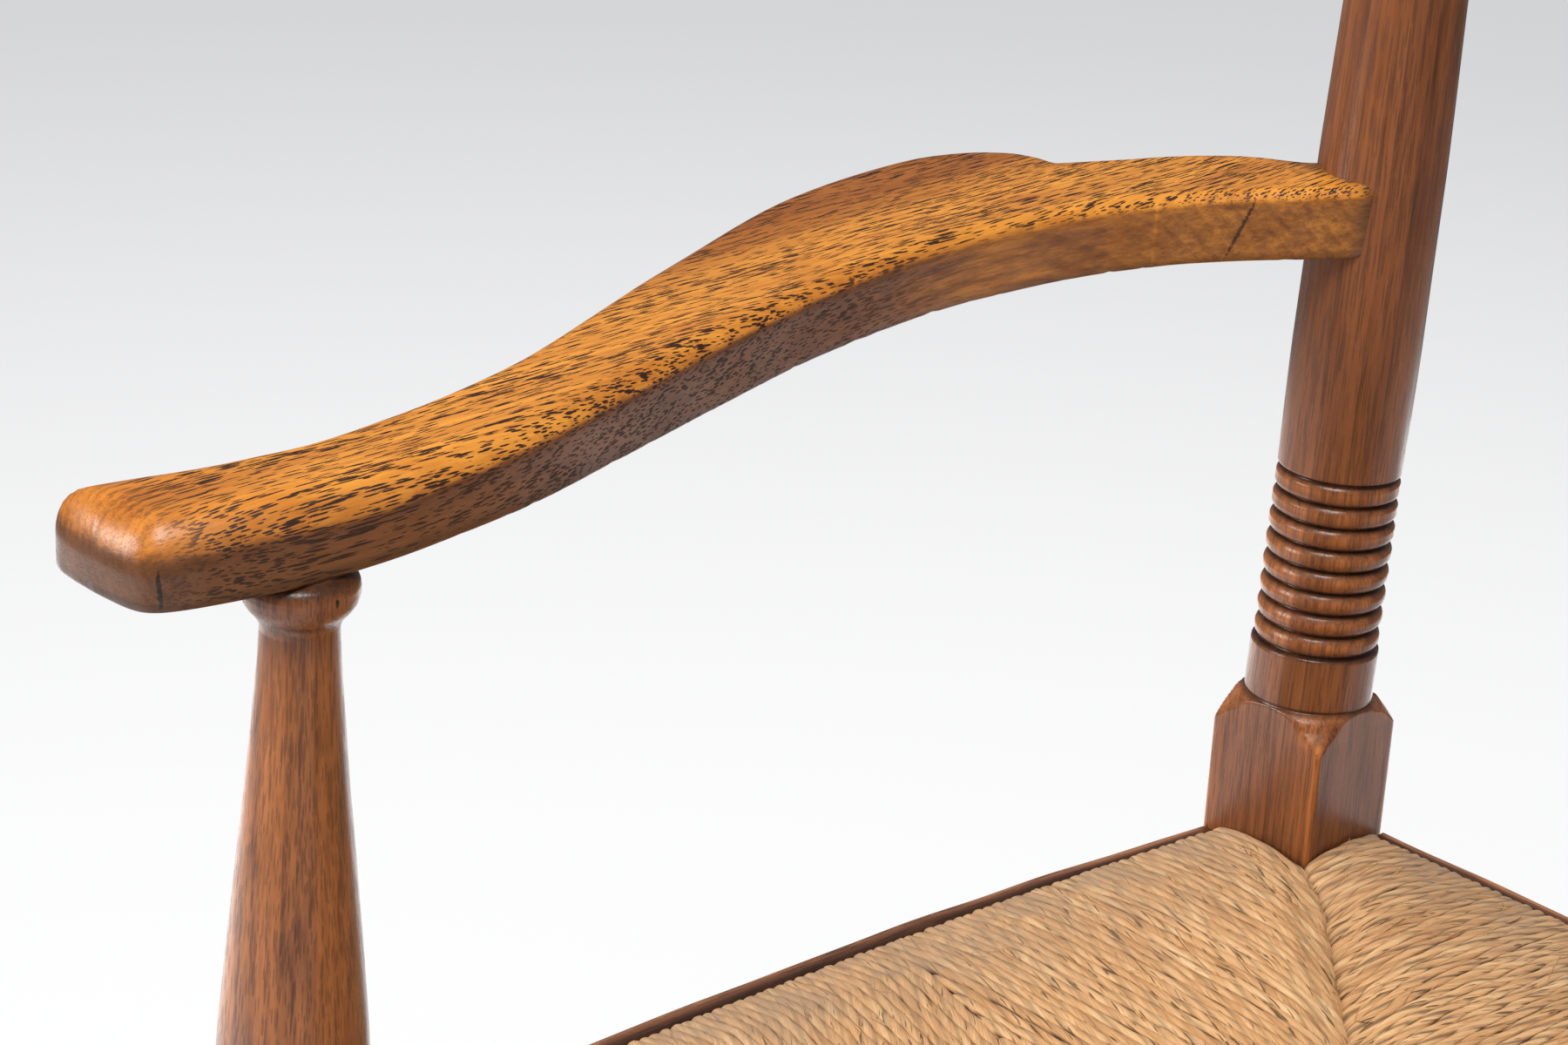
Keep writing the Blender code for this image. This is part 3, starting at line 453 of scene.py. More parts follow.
# %% Post shapes
ROUND_STEPS = 26
quarter = np.linspace(-1, 1, ROUND_STEPS, endpoint=False)
corner_angles = math.pi / 4 * (1 + 0.4 * quarter + 0.6 * quarter**3)
post_angles = np.concatenate([corner_angles + i * math.pi / 2 for i in range(4)])


def square_radius(angles, half, sharpness=46):
    """Distance from the axis to a square's side, with slightly rounded corners."""
    return half / (np.abs(np.cos(angles))**sharpness + np.abs(np.sin(angles))**sharpness)**(1 / sharpness)


def read_profile(knots, heights):
    """Radius at each height, from (height, radius) knots joined by straight lines."""
    knots = np.array(knots)
    return np.interp(heights, knots[:, 0], knots[:, 1])


block_top, block_bottom = 49.5 * MM, -63.5 * MM
shoulder_knots = np.array([(0, 20.4), (0.5, 21.6), (2.6, 23.8), (5.6, 26.2), (8.4, 28.2), (10.6, 29.5),
                           (20, 99)]) * MM


def shoulder(distance):
    """Radius that the lathe leaves at a distance below the top of a block: swelling shoulders."""
    return np.interp(distance, shoulder_knots[:, 0], shoulder_knots[:, 1])


# Profiles are (metres above the seat, radius in millimetres)
leg_knots = [(-0.5, 12.9), (-0.436, 12.5), (-0.4355, 12.9), (-0.431, 13.6), (-0.420, 13.6), (-0.3865, 13.9),
             (-0.3855, 14.6), (-0.3845, 16.2), (-0.3825, 17.1), (-0.380, 17.4), (-0.3775, 17.1),
             (-0.3755, 16.2), (-0.3745, 14.7), (-0.3735, 14.2), (-0.3500, 14.9), (-0.28, 16.9), (-0.20, 18.7),
             (-0.135, 19.6), (-0.0640, 19.8), (0.0, 19.8)]
leg_knots = [(height, radius * MM) for height, radius in leg_knots]

ring_count, ring_start, ring_pitch = 9, 67.8 * MM, 7.16 * MM
ring_end = ring_start + (ring_count - 1) * ring_pitch
ring_arc = 4.05 * MM
finial_base = post_top - 46 * MM
shaft_knots = [(0.0, 20.2), (0.0495, 20.2), (0.0665, 20.2), (0.1265, 19.3), (0.130, 19.35), (0.147, 19.65),
               (0.164, 19.8), (0.190, 19.6), (0.225, 19.45), (0.242, 19.1), (0.258, 18.7), (0.274, 18.3),
               (0.33, 17.4), (0.42, 16.5), (0.52, 15.8), (0.600, 15.2)]
shaft_knots = [(height, 1.01 * radius * MM) for height, radius in shaft_knots]
# The finial's heights are millimetres above its base
finial_knots = [(-6, 15.2), (-4.5, 15.2), (-1.2, 14.6), (-0.2, 13.7), (0.3, 12.4), (2.5, 10.6), (5, 9.6),
                (8, 10.4), (12, 12.8), (16, 14.7), (20, 15.4), (25, 15.5), (30, 15.0), (35, 13.1),
                (39, 10.4), (42.5, 7.2), (44.6, 4.6), (45.6, 2.4), (46, 0.15)]
finial_knots = [(finial_base + height * MM, radius * MM) for height, radius in finial_knots]


def ring_radius(heights):
    """Nine rings, each the arc of a circle in section, with narrow grooves between them."""
    phase = (heights - ring_start) / ring_pitch
    inside = (heights > ring_start - 1 * MM) & (heights < ring_end + 1 * MM)
    offset = np.abs(phase - np.round(phase)) * 2
    from_crest = (1 - offset) * ring_pitch / 2
    bead = 19.95 * MM - ring_arc + np.sqrt(ring_arc**2 - from_crest**2)
    groove = np.where(offset < 0.15, 1.0 * MM, 0.0)
    limited = np.where(phase < 0, 20.2 * MM, bead)
    limited = np.where(phase > ring_count - 1, 19.3 * MM, limited)
    return np.where(inside, limited - groove, 99.0)


def back_post_radius(angles, heights):
    """Back post: leg, block, shaft with its rings, and finial."""
    turned = np.where(heights < 0, read_profile(leg_knots, heights), read_profile(shaft_knots, heights))
    turned = np.where(heights > finial_base - 6 * MM, read_profile(finial_knots, heights), turned)
    turned = np.minimum(turned, ring_radius(heights))
    return squared(turned, angles, heights)


def squared(turned, angles, heights):
    """Square block between its two shoulders, turned radius above and below it."""
    cut = np.minimum(shoulder(block_top - heights), shoulder(heights - block_bottom))
    block = np.minimum(square_radius(angles, block_half), cut)
    seam = 0.5 * MM * (bell(heights, block_top + 0.3 * MM, 0.35 * MM)
                       + bell(heights, block_bottom - 0.3 * MM, 0.35 * MM))
    inside = (heights < block_top) & (heights > block_bottom)
    return np.where(inside, block, turned - seam)


def post_heights(top, fine_zones):
    """Heights of a post's rows: a row every 7 mm, and closer rows in the zones (low, high, step)."""
    rows = [np.arange(-seat_top, top, 7 * MM), [-seat_top, top]]
    for low, high, step in fine_zones:
        rows = [part[(part < low) | (part > high)] for part in map(np.asarray, rows)]
        rows.append(np.arange(low, high, step))
    return np.unique(np.round(np.concatenate(rows), 7))


def along_post(side, heights, bend_at, lean, foot):
    """Centre of a post at each height above the seat; lean is (sideways, backwards) as tangents."""
    above = np.maximum(heights - bend_at, 0) if bend_at is not None else heights
    x = foot[0] + lean[0] * above
    return stacked(side * x, foot[1] + lean[1] * above, heights + seat_top)


post_lines = {"back": (bend_height, (math.tan(back_splay), math.tan(back_rake)), (back_half, back_line)),
              "front": (None, (-math.tan(front_lean), math.tan(front_rake)),
                        (front_half, back_line - seat_depth))}


def post_axis(part, side, height):
    """Point on a post's axis, at a height above the floor."""
    return along_post(side, height - seat_top, *post_lines[part])


def post_surface(side, heights, radius, part, turn):
    """Rows of a post: each ring of points lies square to the axis at its height."""
    angles = post_angles[None, :]
    reach = radius(angles, heights[:, None])
    centre = along_post(side, heights, *post_lines[part])
    ahead = along_post(side, heights + 0.5 * MM, *post_lines[part])
    axis = ahead - centre
    axis /= np.linalg.norm(axis, axis=1)[:, None]
    across = stacked(np.cos(angles + side * turn), np.sin(angles + side * turn)) * reach[..., None]
    drop = -(axis[:, 0, None] * across[..., 0] + axis[:, 1, None] * across[..., 1]) / axis[:, 2, None]
    points = centre[:, None, :] + np.concatenate([across, drop[..., None]], axis=-1)
    grain = np.concatenate([across, np.broadcast_to(heights[:, None, None], reach.shape + (1,))], axis=-1)
    return points, grain


def groove_grime(heights):
    """Dark wax: in the ring grooves and where the round part meets the block."""
    phase = (heights - ring_start) / ring_pitch
    near = np.abs(phase - np.clip(np.round(phase), 0, ring_count - 1)) * ring_pitch
    seams = sum(bell(heights, level, 0.9 * MM) for level in (block_top + 0.3 * MM, block_bottom - 0.3 * MM))
    return np.clip(bell(near, 0, 0.95 * MM) * 0.95 + seams * 0.7, 0, 1)


def arris_wear_and_shoulder_highlight(angles, heights):
    """Rubbed arrises of the square block, and a painted highlight on its upper shoulders near the corners."""
    off_corner = np.abs((angles % (math.pi / 2)) - math.pi / 4)
    in_block = soft_step(block_bottom, block_bottom + 8 * MM, heights) * (1 - soft_step(
        block_top - 8 * MM, block_top - 5 * MM, heights))
    arris = 0.55 * bell(off_corner, 0, 0.04) + 0.45 * bell(off_corner, 0, 0.17)
    in_shoulder = soft_step(block_top - 9 * MM, block_top - 6 * MM, heights) * (heights < block_top)
    # Painted highlight on the upper shoulders, strongest towards the corners
    return arris * in_block + 0.8 * bell(off_corner, 0, 0.3) * in_shoulder


def ring_crest_highlight(heights):
    """Painted highlight: paler crests of the rings, a little above the middle of each."""
    phase = (heights - ring_start - 0.7 * MM) / ring_pitch
    crest = np.abs(phase - 0.5 - np.round(phase - 0.5)) * ring_pitch
    return 0.6 * bell(crest, 0, 1.3 * MM) * ((phase > 0) & (phase < ring_count - 1))


# %% Back posts
back_zones = [(-0.438, -0.372, 0.9 * MM), (block_bottom - 3 * MM, block_bottom + 15 * MM, 0.6 * MM),
              (block_top - 15 * MM, block_top + 2 * MM, 0.45 * MM),
              (ring_start - 2 * MM, ring_end + 2.5 * MM, 0.36 * MM),
              (finial_base - 7 * MM, post_top, 0.8 * MM)]
for word, side in SIDES.items():
    rows = post_heights(post_top, back_zones)
    points, grain = post_surface(side, rows, back_post_radius, "back", -block_turn)
    grain = grain + np.array([0.055 + 0.02 * side, 0.03, 0.4 * side])
    # The lightening value holds wear on the arrises, and painted highlights on the upper shoulders and the
    # ring crests
    skin(f"back_post_{word}", points, grain, stained_oak, [f"back_post_{word}"], "oak",
         grime=groove_grime(rows)[:, None],
         worn=arris_wear_and_shoulder_highlight(post_angles[None, :], rows[:, None]) * 0.9 + ring_crest_highlight(rows)[:, None])
print("back post rows:", len(rows))

# %% [markdown]
# The front posts are the arm supports: above the block they taper to a slim neck with a bead on top, which
# the arm rests on. The post leans back and inwards by about a degree as a whole.

# %% Front posts
arm_thickness = 22.4 * MM
arm_back_height, arm_front_height = 199.9 * MM, 191.5 * MM
support_knots = [(0.0, 20.3), (0.0495, 20.2), (0.052, 20.1), (0.062, 19.55), (0.081, 17.95), (0.107, 15.65),
                 (0.1315, 13.3), (0.156, 11.35), (0.170, 10.4), (0.1755, 10.2), (0.1770, 10.4),
                 (0.1783, 10.9), (0.1795, 11.7), (0.1806, 12.7), (0.1818, 13.7), (0.1834, 14.6),
                 (0.1855, 15.1), (0.1875, 15.1), (0.1890, 14.7), (0.1901, 13.9), (0.1909, 12.6),
                 (0.1914, 10.9), (0.1950, 10.5)]
support_knots = [(height, radius * MM) for height, radius in support_knots]


def front_post_radius(angles, heights):
    """Front post: leg, block, and the neck with its bead."""
    turned = np.where(heights < 0, read_profile(leg_knots, heights), read_profile(support_knots, heights))
    return squared(turned, angles, heights)


front_zones = [back_zones[0], back_zones[1], back_zones[2], (0.174, 0.195, 0.4 * MM)]
for word, side in SIDES.items():
    rows = post_heights(0.1945, front_zones)
    points, grain = post_surface(side, rows, front_post_radius, "front", seat_splay)
    points[..., 2] = np.maximum(points[..., 2], 0)
    grain = grain + np.array([0.04, 0.05 - 0.02 * side, 1.3 + 0.4 * side])
    # Darker at the foot of the bead, and a painted shadow over the bead's top, under the arm
    bead_foot_and_arm_shadow = bell(rows, 0.1792, 0.8 * MM) * 0.6 + soft_step(0.1875, 0.1905, rows) * 0.8
    seams = [bell(rows, level, 0.9 * MM) * 0.7 for level in (block_top, block_bottom)]
    # Paler neck: wear, and a painted highlight on the sides facing the front and outwards, where the light
    # falls
    away_from_seat = 0.5 + 0.5 * (0.3 * side * np.cos(post_angles) - 0.95 * np.sin(post_angles))[None, :]
    rubbed_and_lit_neck = 0.8 * soft_step(0.05, 0.07, rows) * (1 - soft_step(0.165, 0.178, rows))
    skin(f"front_post_{word}", points, grain, stained_oak, [f"front_post_{word}"], "oak",
         grime=np.clip(bead_foot_and_arm_shadow + sum(seams), 0, 1)[:, None],
         worn=arris_wear_and_shoulder_highlight(post_angles[None, :], rows[:, None]) * 0.9 + rubbed_and_lit_neck[:, None] * away_from_seat)

# %% [markdown]
# ## Arms
#
# Each arm is sawn from a plank 22 mm thick: narrow where it meets the back post, wide at the elbow, with a
# step on its outer edge, and narrow again before a blunt nose. The outline is drawn as ribs across the arm,
# each an inner and an outer point. The rounding of the edges depends only on how far a point lies from the
# outline, so it runs evenly round the nose and into the step.

# %% Arm outline
# Each rib is (inner forward, inner out, outer forward, outer out) in millimetres from the back post's axis
arm_ribs = [(-7, -9.5, -8, 16), (7.5, -5, 0.4, 22), (16, 0.7, 8.4, 36), (24.4, 6.5, 17.6, 46.2),
            (33, 13, 28.7, 54.6), (42, 19, 40, 60.8), (53, 25.6, 51.5, 67.2), (62, 29.8, 60, 71.8),
            (62.6, 30.1, 60.1, 77.4), (66.5, 31.6, 63.6, 86.2), (77, 35.6, 74.5, 95.8),
            (94, 40.3, 90.5, 102.2), (112, 43.6, 110, 104), (128, 45.9, 130, 103.2),
            (150, 46.7, 152, 100.3), (184, 44.7, 174, 95.3), (205, 41.9, 198, 88.3), (225, 38.2, 223, 80.2),
            (245, 34.5, 245, 72.5), (265, 30.5, 268, 64.8), (285, 26.7, 289, 58.4), (302, 23.3, 308, 54.4),
            (320, 20.6, 325, 52.2), (340, 19.2, 342, 51.5), (364, 18.6, 366, 52.2), (390, 20.8, 389, 56.8),
            (402, 23.4, 402, 61.4), (412.5, 26.4, 411, 66), (420, 29, 417.5, 69.6),
            (425.5, 31.8, 422.6, 71.8), (428.6, 35.5, 426.8, 71.6), (430, 41, 429.2, 67.4),
            (430.5, 47, 430.3, 60.6), (430.7, 51, 430.6, 54)]
notch_rib = 7
notch_rows = 9
before_notch = np.append(np.linspace(0, notch_rib, 40, endpoint=False), notch_rib)
after_notch = np.append(np.linspace(notch_rib + 1.1, 24, 120), np.linspace(24.1, len(arm_ribs) - 1, 70))
# Radius of the rounded upper edge at distances forward: along the inner edge and along the outer edge
inner_rounding = ((0, 0.06, 0.2, 0.3, 0.38, 0.415, 0.43), (3.5, 4.5, 6, 8, 10.5, 12.5, 13.5))
outer_rounding = ((0, 0.34, 0.38, 0.41, 0.422, 0.428, 0.431), (3.5, 3.8, 5.5, 8.5, 11, 12.5, 14))
low_round = 1.0 * MM


def edge_rounding(depth, radius):
    """Drop of a quarter-round edge at a distance from the outline."""
    short = np.clip(radius - depth, 0, radius)
    return radius - np.sqrt(np.maximum(radius**2 - short**2, 0))


def distance_to(points, line):
    """Shortest distance from each point to a broken line, in plan."""
    starts, runs = line[:-1], np.diff(line, axis=0)
    lengths = np.maximum((runs**2).sum(1), 1e-12)
    best = np.full(len(points), 1.0)
    for start, run, length in zip(starts, runs, lengths):
        share = np.clip((points - start) @ run / length, 0, 1)
        best = np.minimum(best, np.linalg.norm(points - start - share[:, None] * run, axis=1))
    return best


def arm_surface():
    """Arm in plan: rows are ribs, columns run across the top, down the outer edge, back below and up.

    The drop of the top is the larger of two quarter-rounds, one for each edge; `fall` is its share of the
    radius: 0 on the flat top, 1 on the walls and below.
    """
    ribs = MM * np.concatenate([smooth_path(arm_ribs[:notch_rib + 1], before_notch),
                                np.linspace(arm_ribs[notch_rib], arm_ribs[notch_rib + 1], notch_rows),
                                smooth_path(arm_ribs[notch_rib + 1:], after_notch - notch_rib - 1)])
    inner, outer = ribs[:, :2], ribs[:, 2:]
    width = np.linalg.norm(outer - inner, axis=1)
    radii = [np.interp(inner[:, 0], *rounding) * MM for rounding in (inner_rounding, outer_rounding)]
    bend_shares = 1 - np.cos(np.linspace(0, math.pi / 2, 9))[None, :]
    inner_part, outer_part = (bend_shares * np.minimum(radius, width / 2.2)[:, None] for radius in radii)
    middle = np.linspace(0, 1, 26)[None, 1:-1]
    left_end, right_end = inner_part[:, -1:], width[:, None] - outer_part[:, -1:]
    across = np.concatenate([inner_part, left_end + (right_end - left_end) * middle,
                             width[:, None] - outer_part[:, ::-1]], axis=1) / width[:, None]
    plan = inner[:, None, :] + across[..., None] * (outer - inner)[:, None, :]
    tip = (inner[-1] + outer[-1]) / 2
    to_inner, to_outer = (distance_to(plan.reshape(-1, 2), np.vstack([line[1:], tip])).reshape(plan.shape[:2])
                          for line in (inner, outer))
    to_inner[:, 0] = to_outer[:, -1] = 0
    drops = [edge_rounding(far, radius[:, None]) for far, radius in zip((to_inner, to_outer), radii)]
    top = -np.maximum(*drops)
    top_fall = np.maximum(drops[0] / radii[0][:, None], drops[1] / radii[1][:, None])
    low = -arm_thickness + edge_rounding(np.minimum(to_inner, to_outer), low_round)
    wall = np.linspace(0, 1, 8)[None, 1:-1]
    wall_out = top[:, -1:] + (low[:, -1:] - top[:, -1:]) * wall
    wall_in = low[:, :1] + (top[:, :1] - low[:, :1]) * wall
    columns = [plan, np.repeat(plan[:, -1:], 6, axis=1), plan[:, ::-1], np.repeat(plan[:, :1], 6, axis=1)]
    heights = np.concatenate([top, wall_out, low[:, ::-1], wall_in], axis=1)
    fall = np.ones_like(heights)
    fall[:, :top.shape[1]] = top_fall
    return np.concatenate(columns, axis=1), heights, fall


def arm_place(plan, heights, side):
    """World points of the arm: forward and out from the back post, and down from the arm's top."""
    slope = (arm_back_height - arm_front_height) / seat_depth
    z = seat_top + arm_back_height + arm_thickness - slope * plan[..., 0] + heights
    return stacked(side * (back_half + plan[..., 1]), back_line - plan[..., 0], z)


arm_plan, arm_heights, arm_fall = arm_surface()
forward, out = arm_plan[..., 0], arm_plan[..., 1]
below = arm_heights < -arm_thickness + 3 * MM
chips = np.where(below, np.clip(ripple(forward * 1000, 5, 9, 5, 30) - 0.6, 0, 1) * 0.4 * MM, 0)
dents = ripple(forward * 1000, 8, 5, 60, 160) * 0.25 * MM
arm_heights = arm_heights + chips + np.where(arm_fall < 1, dents * (1 - arm_fall), 0)
arm_side = soft_step(0.45, 1.05, arm_fall)
ahead = forward / MM
bulge = soft_step(62, 92, out / MM) * soft_step(48, 64, ahead) * (1 - soft_step(225, 300, ahead))
nose_end = soft_step(360, 432, ahead)
in_step = bell(ahead, 61, 1.5) * (out > 66 * MM)
# Darker where the arm meets the back post, on its underside, over the bulge and in the step of the outer
# edge; on the walls near the nose the darkening is partly stain and partly painted shade
arm_grime_and_shade = np.clip(soft_step(11, 3, ahead) * 0.75 + np.where(below, 0.5, 0)
                    + 0.3 * nose_end * soft_step(0.6, 1, arm_fall) + 0.4 * bulge + 0.35 * in_step, 0, 1)
arm_filled = np.maximum(0.85 * arm_side * (1 - soft_step(110, 200, ahead)), 0.8 * soft_step(408, 428, ahead))
# The walls keep darker stain than the rubbed top, and part of their darkness is painted shade, more towards
# the front and over the nose
stained_and_shaded_walls = np.clip(arm_side * (0.58 + 0.42 * soft_step(110, 230, ahead)) + nose_end * 0.35, 0, 1)
for word, side in SIDES.items():
    points = arm_place(arm_plan, arm_heights, side)
    turn = math.radians(4)
    grain = stacked(out * math.cos(turn) - forward * math.sin(turn) + 0.12, arm_heights - 0.05,
                    out * math.sin(turn) + forward * math.cos(turn) + side)
    arm = skin(f"arm_{word}", points, grain, golden_oak, [f"arm_{word}"], "golden_oak", side=stained_and_shaded_walls,
               grime=arm_grime_and_shade, worn=(1 - 0.9 * bulge) * (1 - 0.6 * nose_end), filled=arm_filled)
    own_place = stacked(forward + (side > 0), out, arm_heights)
    add_values(arm.data, arm_at=with_ends(own_place))
print("arm grid:", arm_plan.shape[:2])

# %% [markdown]
# ## Rails and edge strips
#
# Four rails join the posts inside the rush, and a thin lath is nailed over the rush on each side. Both are
# a rounded rectangle carried along the rail's own line: its width points out of the seat. The side and front
# laths bow outwards, because the wrapped rush is fuller between the posts than beside them.

# %% Rail lines
seat_corner = {"back_right": (-back_half, 0), "back_left": (back_half, 0),
               "front_right": (-front_half, -seat_depth), "front_left": (front_half, -seat_depth)}
rail_corners = {"back": ("back_right", "back_left"), "front": ("front_left", "front_right"),
                "right": ("front_right", "back_right"), "left": ("back_left", "front_left")}
rail_thickness, rail_height = 18 * MM, 34 * MM
rush_edge_drop, rush_thickness = 2.5 * MM, 5.5 * MM
rail_middle = -(rush_edge_drop + rush_thickness + rail_height / 2)
strip_thickness, strip_height = 5.5 * MM, 46 * MM
rush_inset, strip_rise = strip_thickness + 0.2 * MM, 0.5 * MM


def rail_line(name):
    """Start of a rail's centre line, its unit direction, the direction out of the seat, and its length."""
    start, end = (np.array(seat_corner[corner]) for corner in rail_corners[name])
    length = np.linalg.norm(end - start)
    along = (end - start) / length
    return start, along, np.array([-along[1], along[0]]), length


def on_rail(name, distance, outside, height):
    """World points from a distance along a rail, a distance out of the seat, and a height above the seat."""
    start, along, outwards, _ = rail_line(name)
    distance, outside, height = np.broadcast_arrays(distance, outside, height)
    plan = start + distance[..., None] * along + outside[..., None] * outwards
    return stacked(plan[..., 0], plan[..., 1] + back_line, height + seat_top)


def strip_offset(name, share):
    """Distance of a strip's outer face from the rail's centre line: the bow is a parabola."""
    bow = {"right": 7.6, "left": 7.6, "front": 5.0, "back": 0.0}[name] * MM
    back_end = {"right": share, "left": 1 - share}.get(name, 0 * share)
    drawn_in = (2.5 * back_end + 2.2 * soft_step(0.67, 0.97, back_end)) * MM
    return block_half + bow * 4 * share * (1 - share) - drawn_in


def rounded_bar(width, height, radii, face_points=(4, 12)):
    """Outline of a rectangle of width and height about its centre, with a radius for each corner.

    The corners come anticlockwise from the lower right, and each long face gets a few points as well.
    """
    corner_signs = [(1, -1), (1, 1), (-1, 1), (-1, -1)]
    points = []
    for i, ((across, up), radius) in enumerate(zip(corner_signs, radii)):
        turn = np.linspace(-math.pi / 2, 0, 7) + i * math.pi / 2
        centre = np.array([across * (width / 2 - radius), up * (height / 2 - radius)])
        points.append(centre + radius * stacked(np.cos(turn), np.sin(turn)))
        next_across, next_up = corner_signs[(i + 1) % 4]
        next_radius = radii[(i + 1) % 4]
        after = [next_across * width / 2, next_up * (height / 2 - next_radius)]
        if i % 2:
            after = [next_across * (width / 2 - next_radius), next_up * height / 2]
        after = np.array(after)
        count = face_points[0] if i % 2 else face_points[1]
        shares = np.linspace(0, 1, count + 2)[1:-1, None]
        points.append(points[-1][-1] * (1 - shares) + after * shares)
    return np.concatenate(points)


for i, name in enumerate(rail_corners):
    length = rail_line(name)[3]
    slant = block_turn + (seat_splay if name in SIDES else 0)
    clear_of_block = block_half * (1 + math.tan(slant)) + 0.2 * MM
    section = rounded_bar(strip_thickness, strip_height, [1.2 * MM, 1.2 * MM, 2.2 * MM, 0.8 * MM])
    distance = np.linspace(clear_of_block, length - clear_of_block, 90)[:, None]
    wave = ripple(distance * 1000, 20 + i, 5, 40, 200) * 0.18 * MM
    middle = strip_offset(name, distance / length) - strip_thickness / 2
    heights = section[None, :, 1] - strip_height / 2 + (wave + strip_rise) * (section[None, :, 1] > 0)
    points = on_rail(name, distance, middle + section[None, :, 0], heights)
    grain = stacked(section[None, :, 0] + 0.03, section[None, :, 1] + 0.06 + 0.1 * i, distance + 0.7 * i)
    # Painted shade on the strip's inner face, beside the rush
    inner = soft_step(0.2 * MM, -2 * MM, section[:, 0])
    near_top = soft_step(-4 * MM, 0, section[:, 1] - strip_height / 2)
    # Painted highlight along the strip's outer top edge
    lit_edge = soft_step(-0.2 * MM, 1.2 * MM, section[:, 0]) * near_top
    skin(f"{name}_edge_strip_wood", points, grain, strip_oak, [f"{name}_edge_strip"], "strip_oak",
         grime=(inner * 0.85)[None, :], worn=(lit_edge * 0.9)[None, :])

    section = rounded_bar(rail_thickness, rail_height, [3 * MM] * 4)
    rail_end = block_half + 0.3 * MM + rail_thickness / 2 * math.tan(seat_splay + block_turn)
    distance = np.linspace(rail_end, length - rail_end, 24)[:, None]
    points = on_rail(name, distance, section[None, :, 0], section[None, :, 1] + rail_middle)
    grain = stacked(section[None, :, 0] + 0.05, section[None, :, 1] + 0.09 + 0.1 * i,
                    distance + 3 + 0.7 * i)
    skin(f"{name}_seat_rail_wood", points, grain, stained_oak, [f"{name}_seat_rail"], "oak",
         grime=0.0, worn=0.0)

# %% [markdown]
# ## Back slats
#
# Three boards bow backwards between the back posts. Their upper edges arch, the lower edges follow less.
# The section is again a rounded rectangle, but its height is a function of the place across the back.

# %% Slats
slat_entry, shaft_top_radius, shaft_arm_radius = 14 * MM, 15.2 * MM, 19.6 * MM
# Lower edge and upper edge in millimetres above the seat, and the rise of the arch
slat_sizes = {"upper": (512, 580, 18), "middle": (408, 466, 11), "lower": (306, 362, 9)}
slat_half, slat_round = 30 * MM, 3.6 * MM


def back_post_x(height):
    """Distance of a back post's axis from the middle, at a height above the seat."""
    return back_half + (height - bend_height) * math.tan(back_splay)


for i, (name, (low, high, arch)) in enumerate(slat_sizes.items()):
    low, high, arch = low * MM, high * MM, arch * MM
    half = back_post_x((low + high) / 2) + slat_entry - shaft_top_radius
    inside = back_post_x(low) - shaft_arm_radius
    x = np.linspace(-half, half, 110)[:, None]
    open_share = np.minimum(1, np.abs(x) / inside)
    bottom = low + 5 * MM * (1 - open_share**2)
    top = high + arch * (1 - open_share**2)
    section = rounded_bar(8.5 * MM, 2 * slat_half, [3 * MM, slat_round, slat_round, 3 * MM], (3, 16))
    edge = np.abs(section[:, 1]) - (slat_half - slat_round)
    stretch = np.where(edge > 0, np.sign(section[:, 1]) * edge, 0)[None, :]
    inner_share = np.clip(section[None, :, 1] / (slat_half - slat_round), -1, 1)
    heights = (top + bottom) / 2 + inner_share * ((top - bottom) / 2 - slat_round) + stretch
    lean = (heights - bend_height) * math.tan(back_rake)
    bow = 21 * MM * (1 - (x / half)**2)
    points = stacked(x, back_line + lean + bow + section[None, :, 0], heights + seat_top)
    grain = stacked(section[None, :, 0] + 0.028, heights + 0.1 * i - 0.38, x + 5 + i)
    skin(f"{name}_slat_wood", points, grain, stained_oak, [f"{name}_slat"], "oak", grime=0.0,
         worn=(np.clip(edge / slat_round, 0, 1) * 0.5)[None, :])

# %% [markdown]
# ## Turned rods, pegs and nails
#
# Stretchers, pegs and nails are all turned: a radius as a function of the distance along a straight axis.

# %% Turned pieces
def turned_rod(name, start, end, profile, material, node_name, slot, sides=28, seed=0.0, worn=0.0):
    """Turned piece between two points; profile holds (distance, radius) arrays from the start."""
    start, end = np.array(start, float), np.array(end, float)
    axis = (end - start) / np.linalg.norm(end - start)
    across = np.cross(axis, (0.0, 0.0, 1.0) if abs(axis[2]) < 0.9 else (1.0, 0.0, 0.0))
    across /= np.linalg.norm(across)
    other = np.cross(axis, across)
    distance, radius = profile
    angle = np.linspace(0, 2 * math.pi, sides, endpoint=False)[None, :, None]
    ring = np.cos(angle) * across + np.sin(angle) * other
    points = start + distance[:, None, None] * axis + radius[:, None, None] * ring
    turn, reach = angle[..., 0], radius[:, None]
    grain = stacked(reach * np.cos(turn) + 0.04 + seed, reach * np.sin(turn) + 0.02,
                    distance[:, None] + 7 + 9 * seed)
    return skin(name, points, grain, material, [node_name], slot, grime=0.0, worn=worn)


def stretcher(name, start, end, seed):
    """Rod that swells from 15 mm at its ends to 22 mm in the middle, let 3 mm short of both axes."""
    axis = (end - start) / np.linalg.norm(end - start)
    start, end = start + axis * 3 * MM, end - axis * 3 * MM
    length = np.linalg.norm(end - start)
    plain = (19.6 + 4) * MM
    distance = np.linspace(0, length, 90)
    swell = np.sin(math.pi * np.clip((distance - plain) / (length - 2 * plain), 0, 1))
    radius = (7.5 + 3.5 * swell**0.9) * MM
    turned_rod(f"{name}_wood", start, end, (distance, radius), stained_oak, name, "oak", seed=seed,
               worn=(swell * 0.3)[:, None])


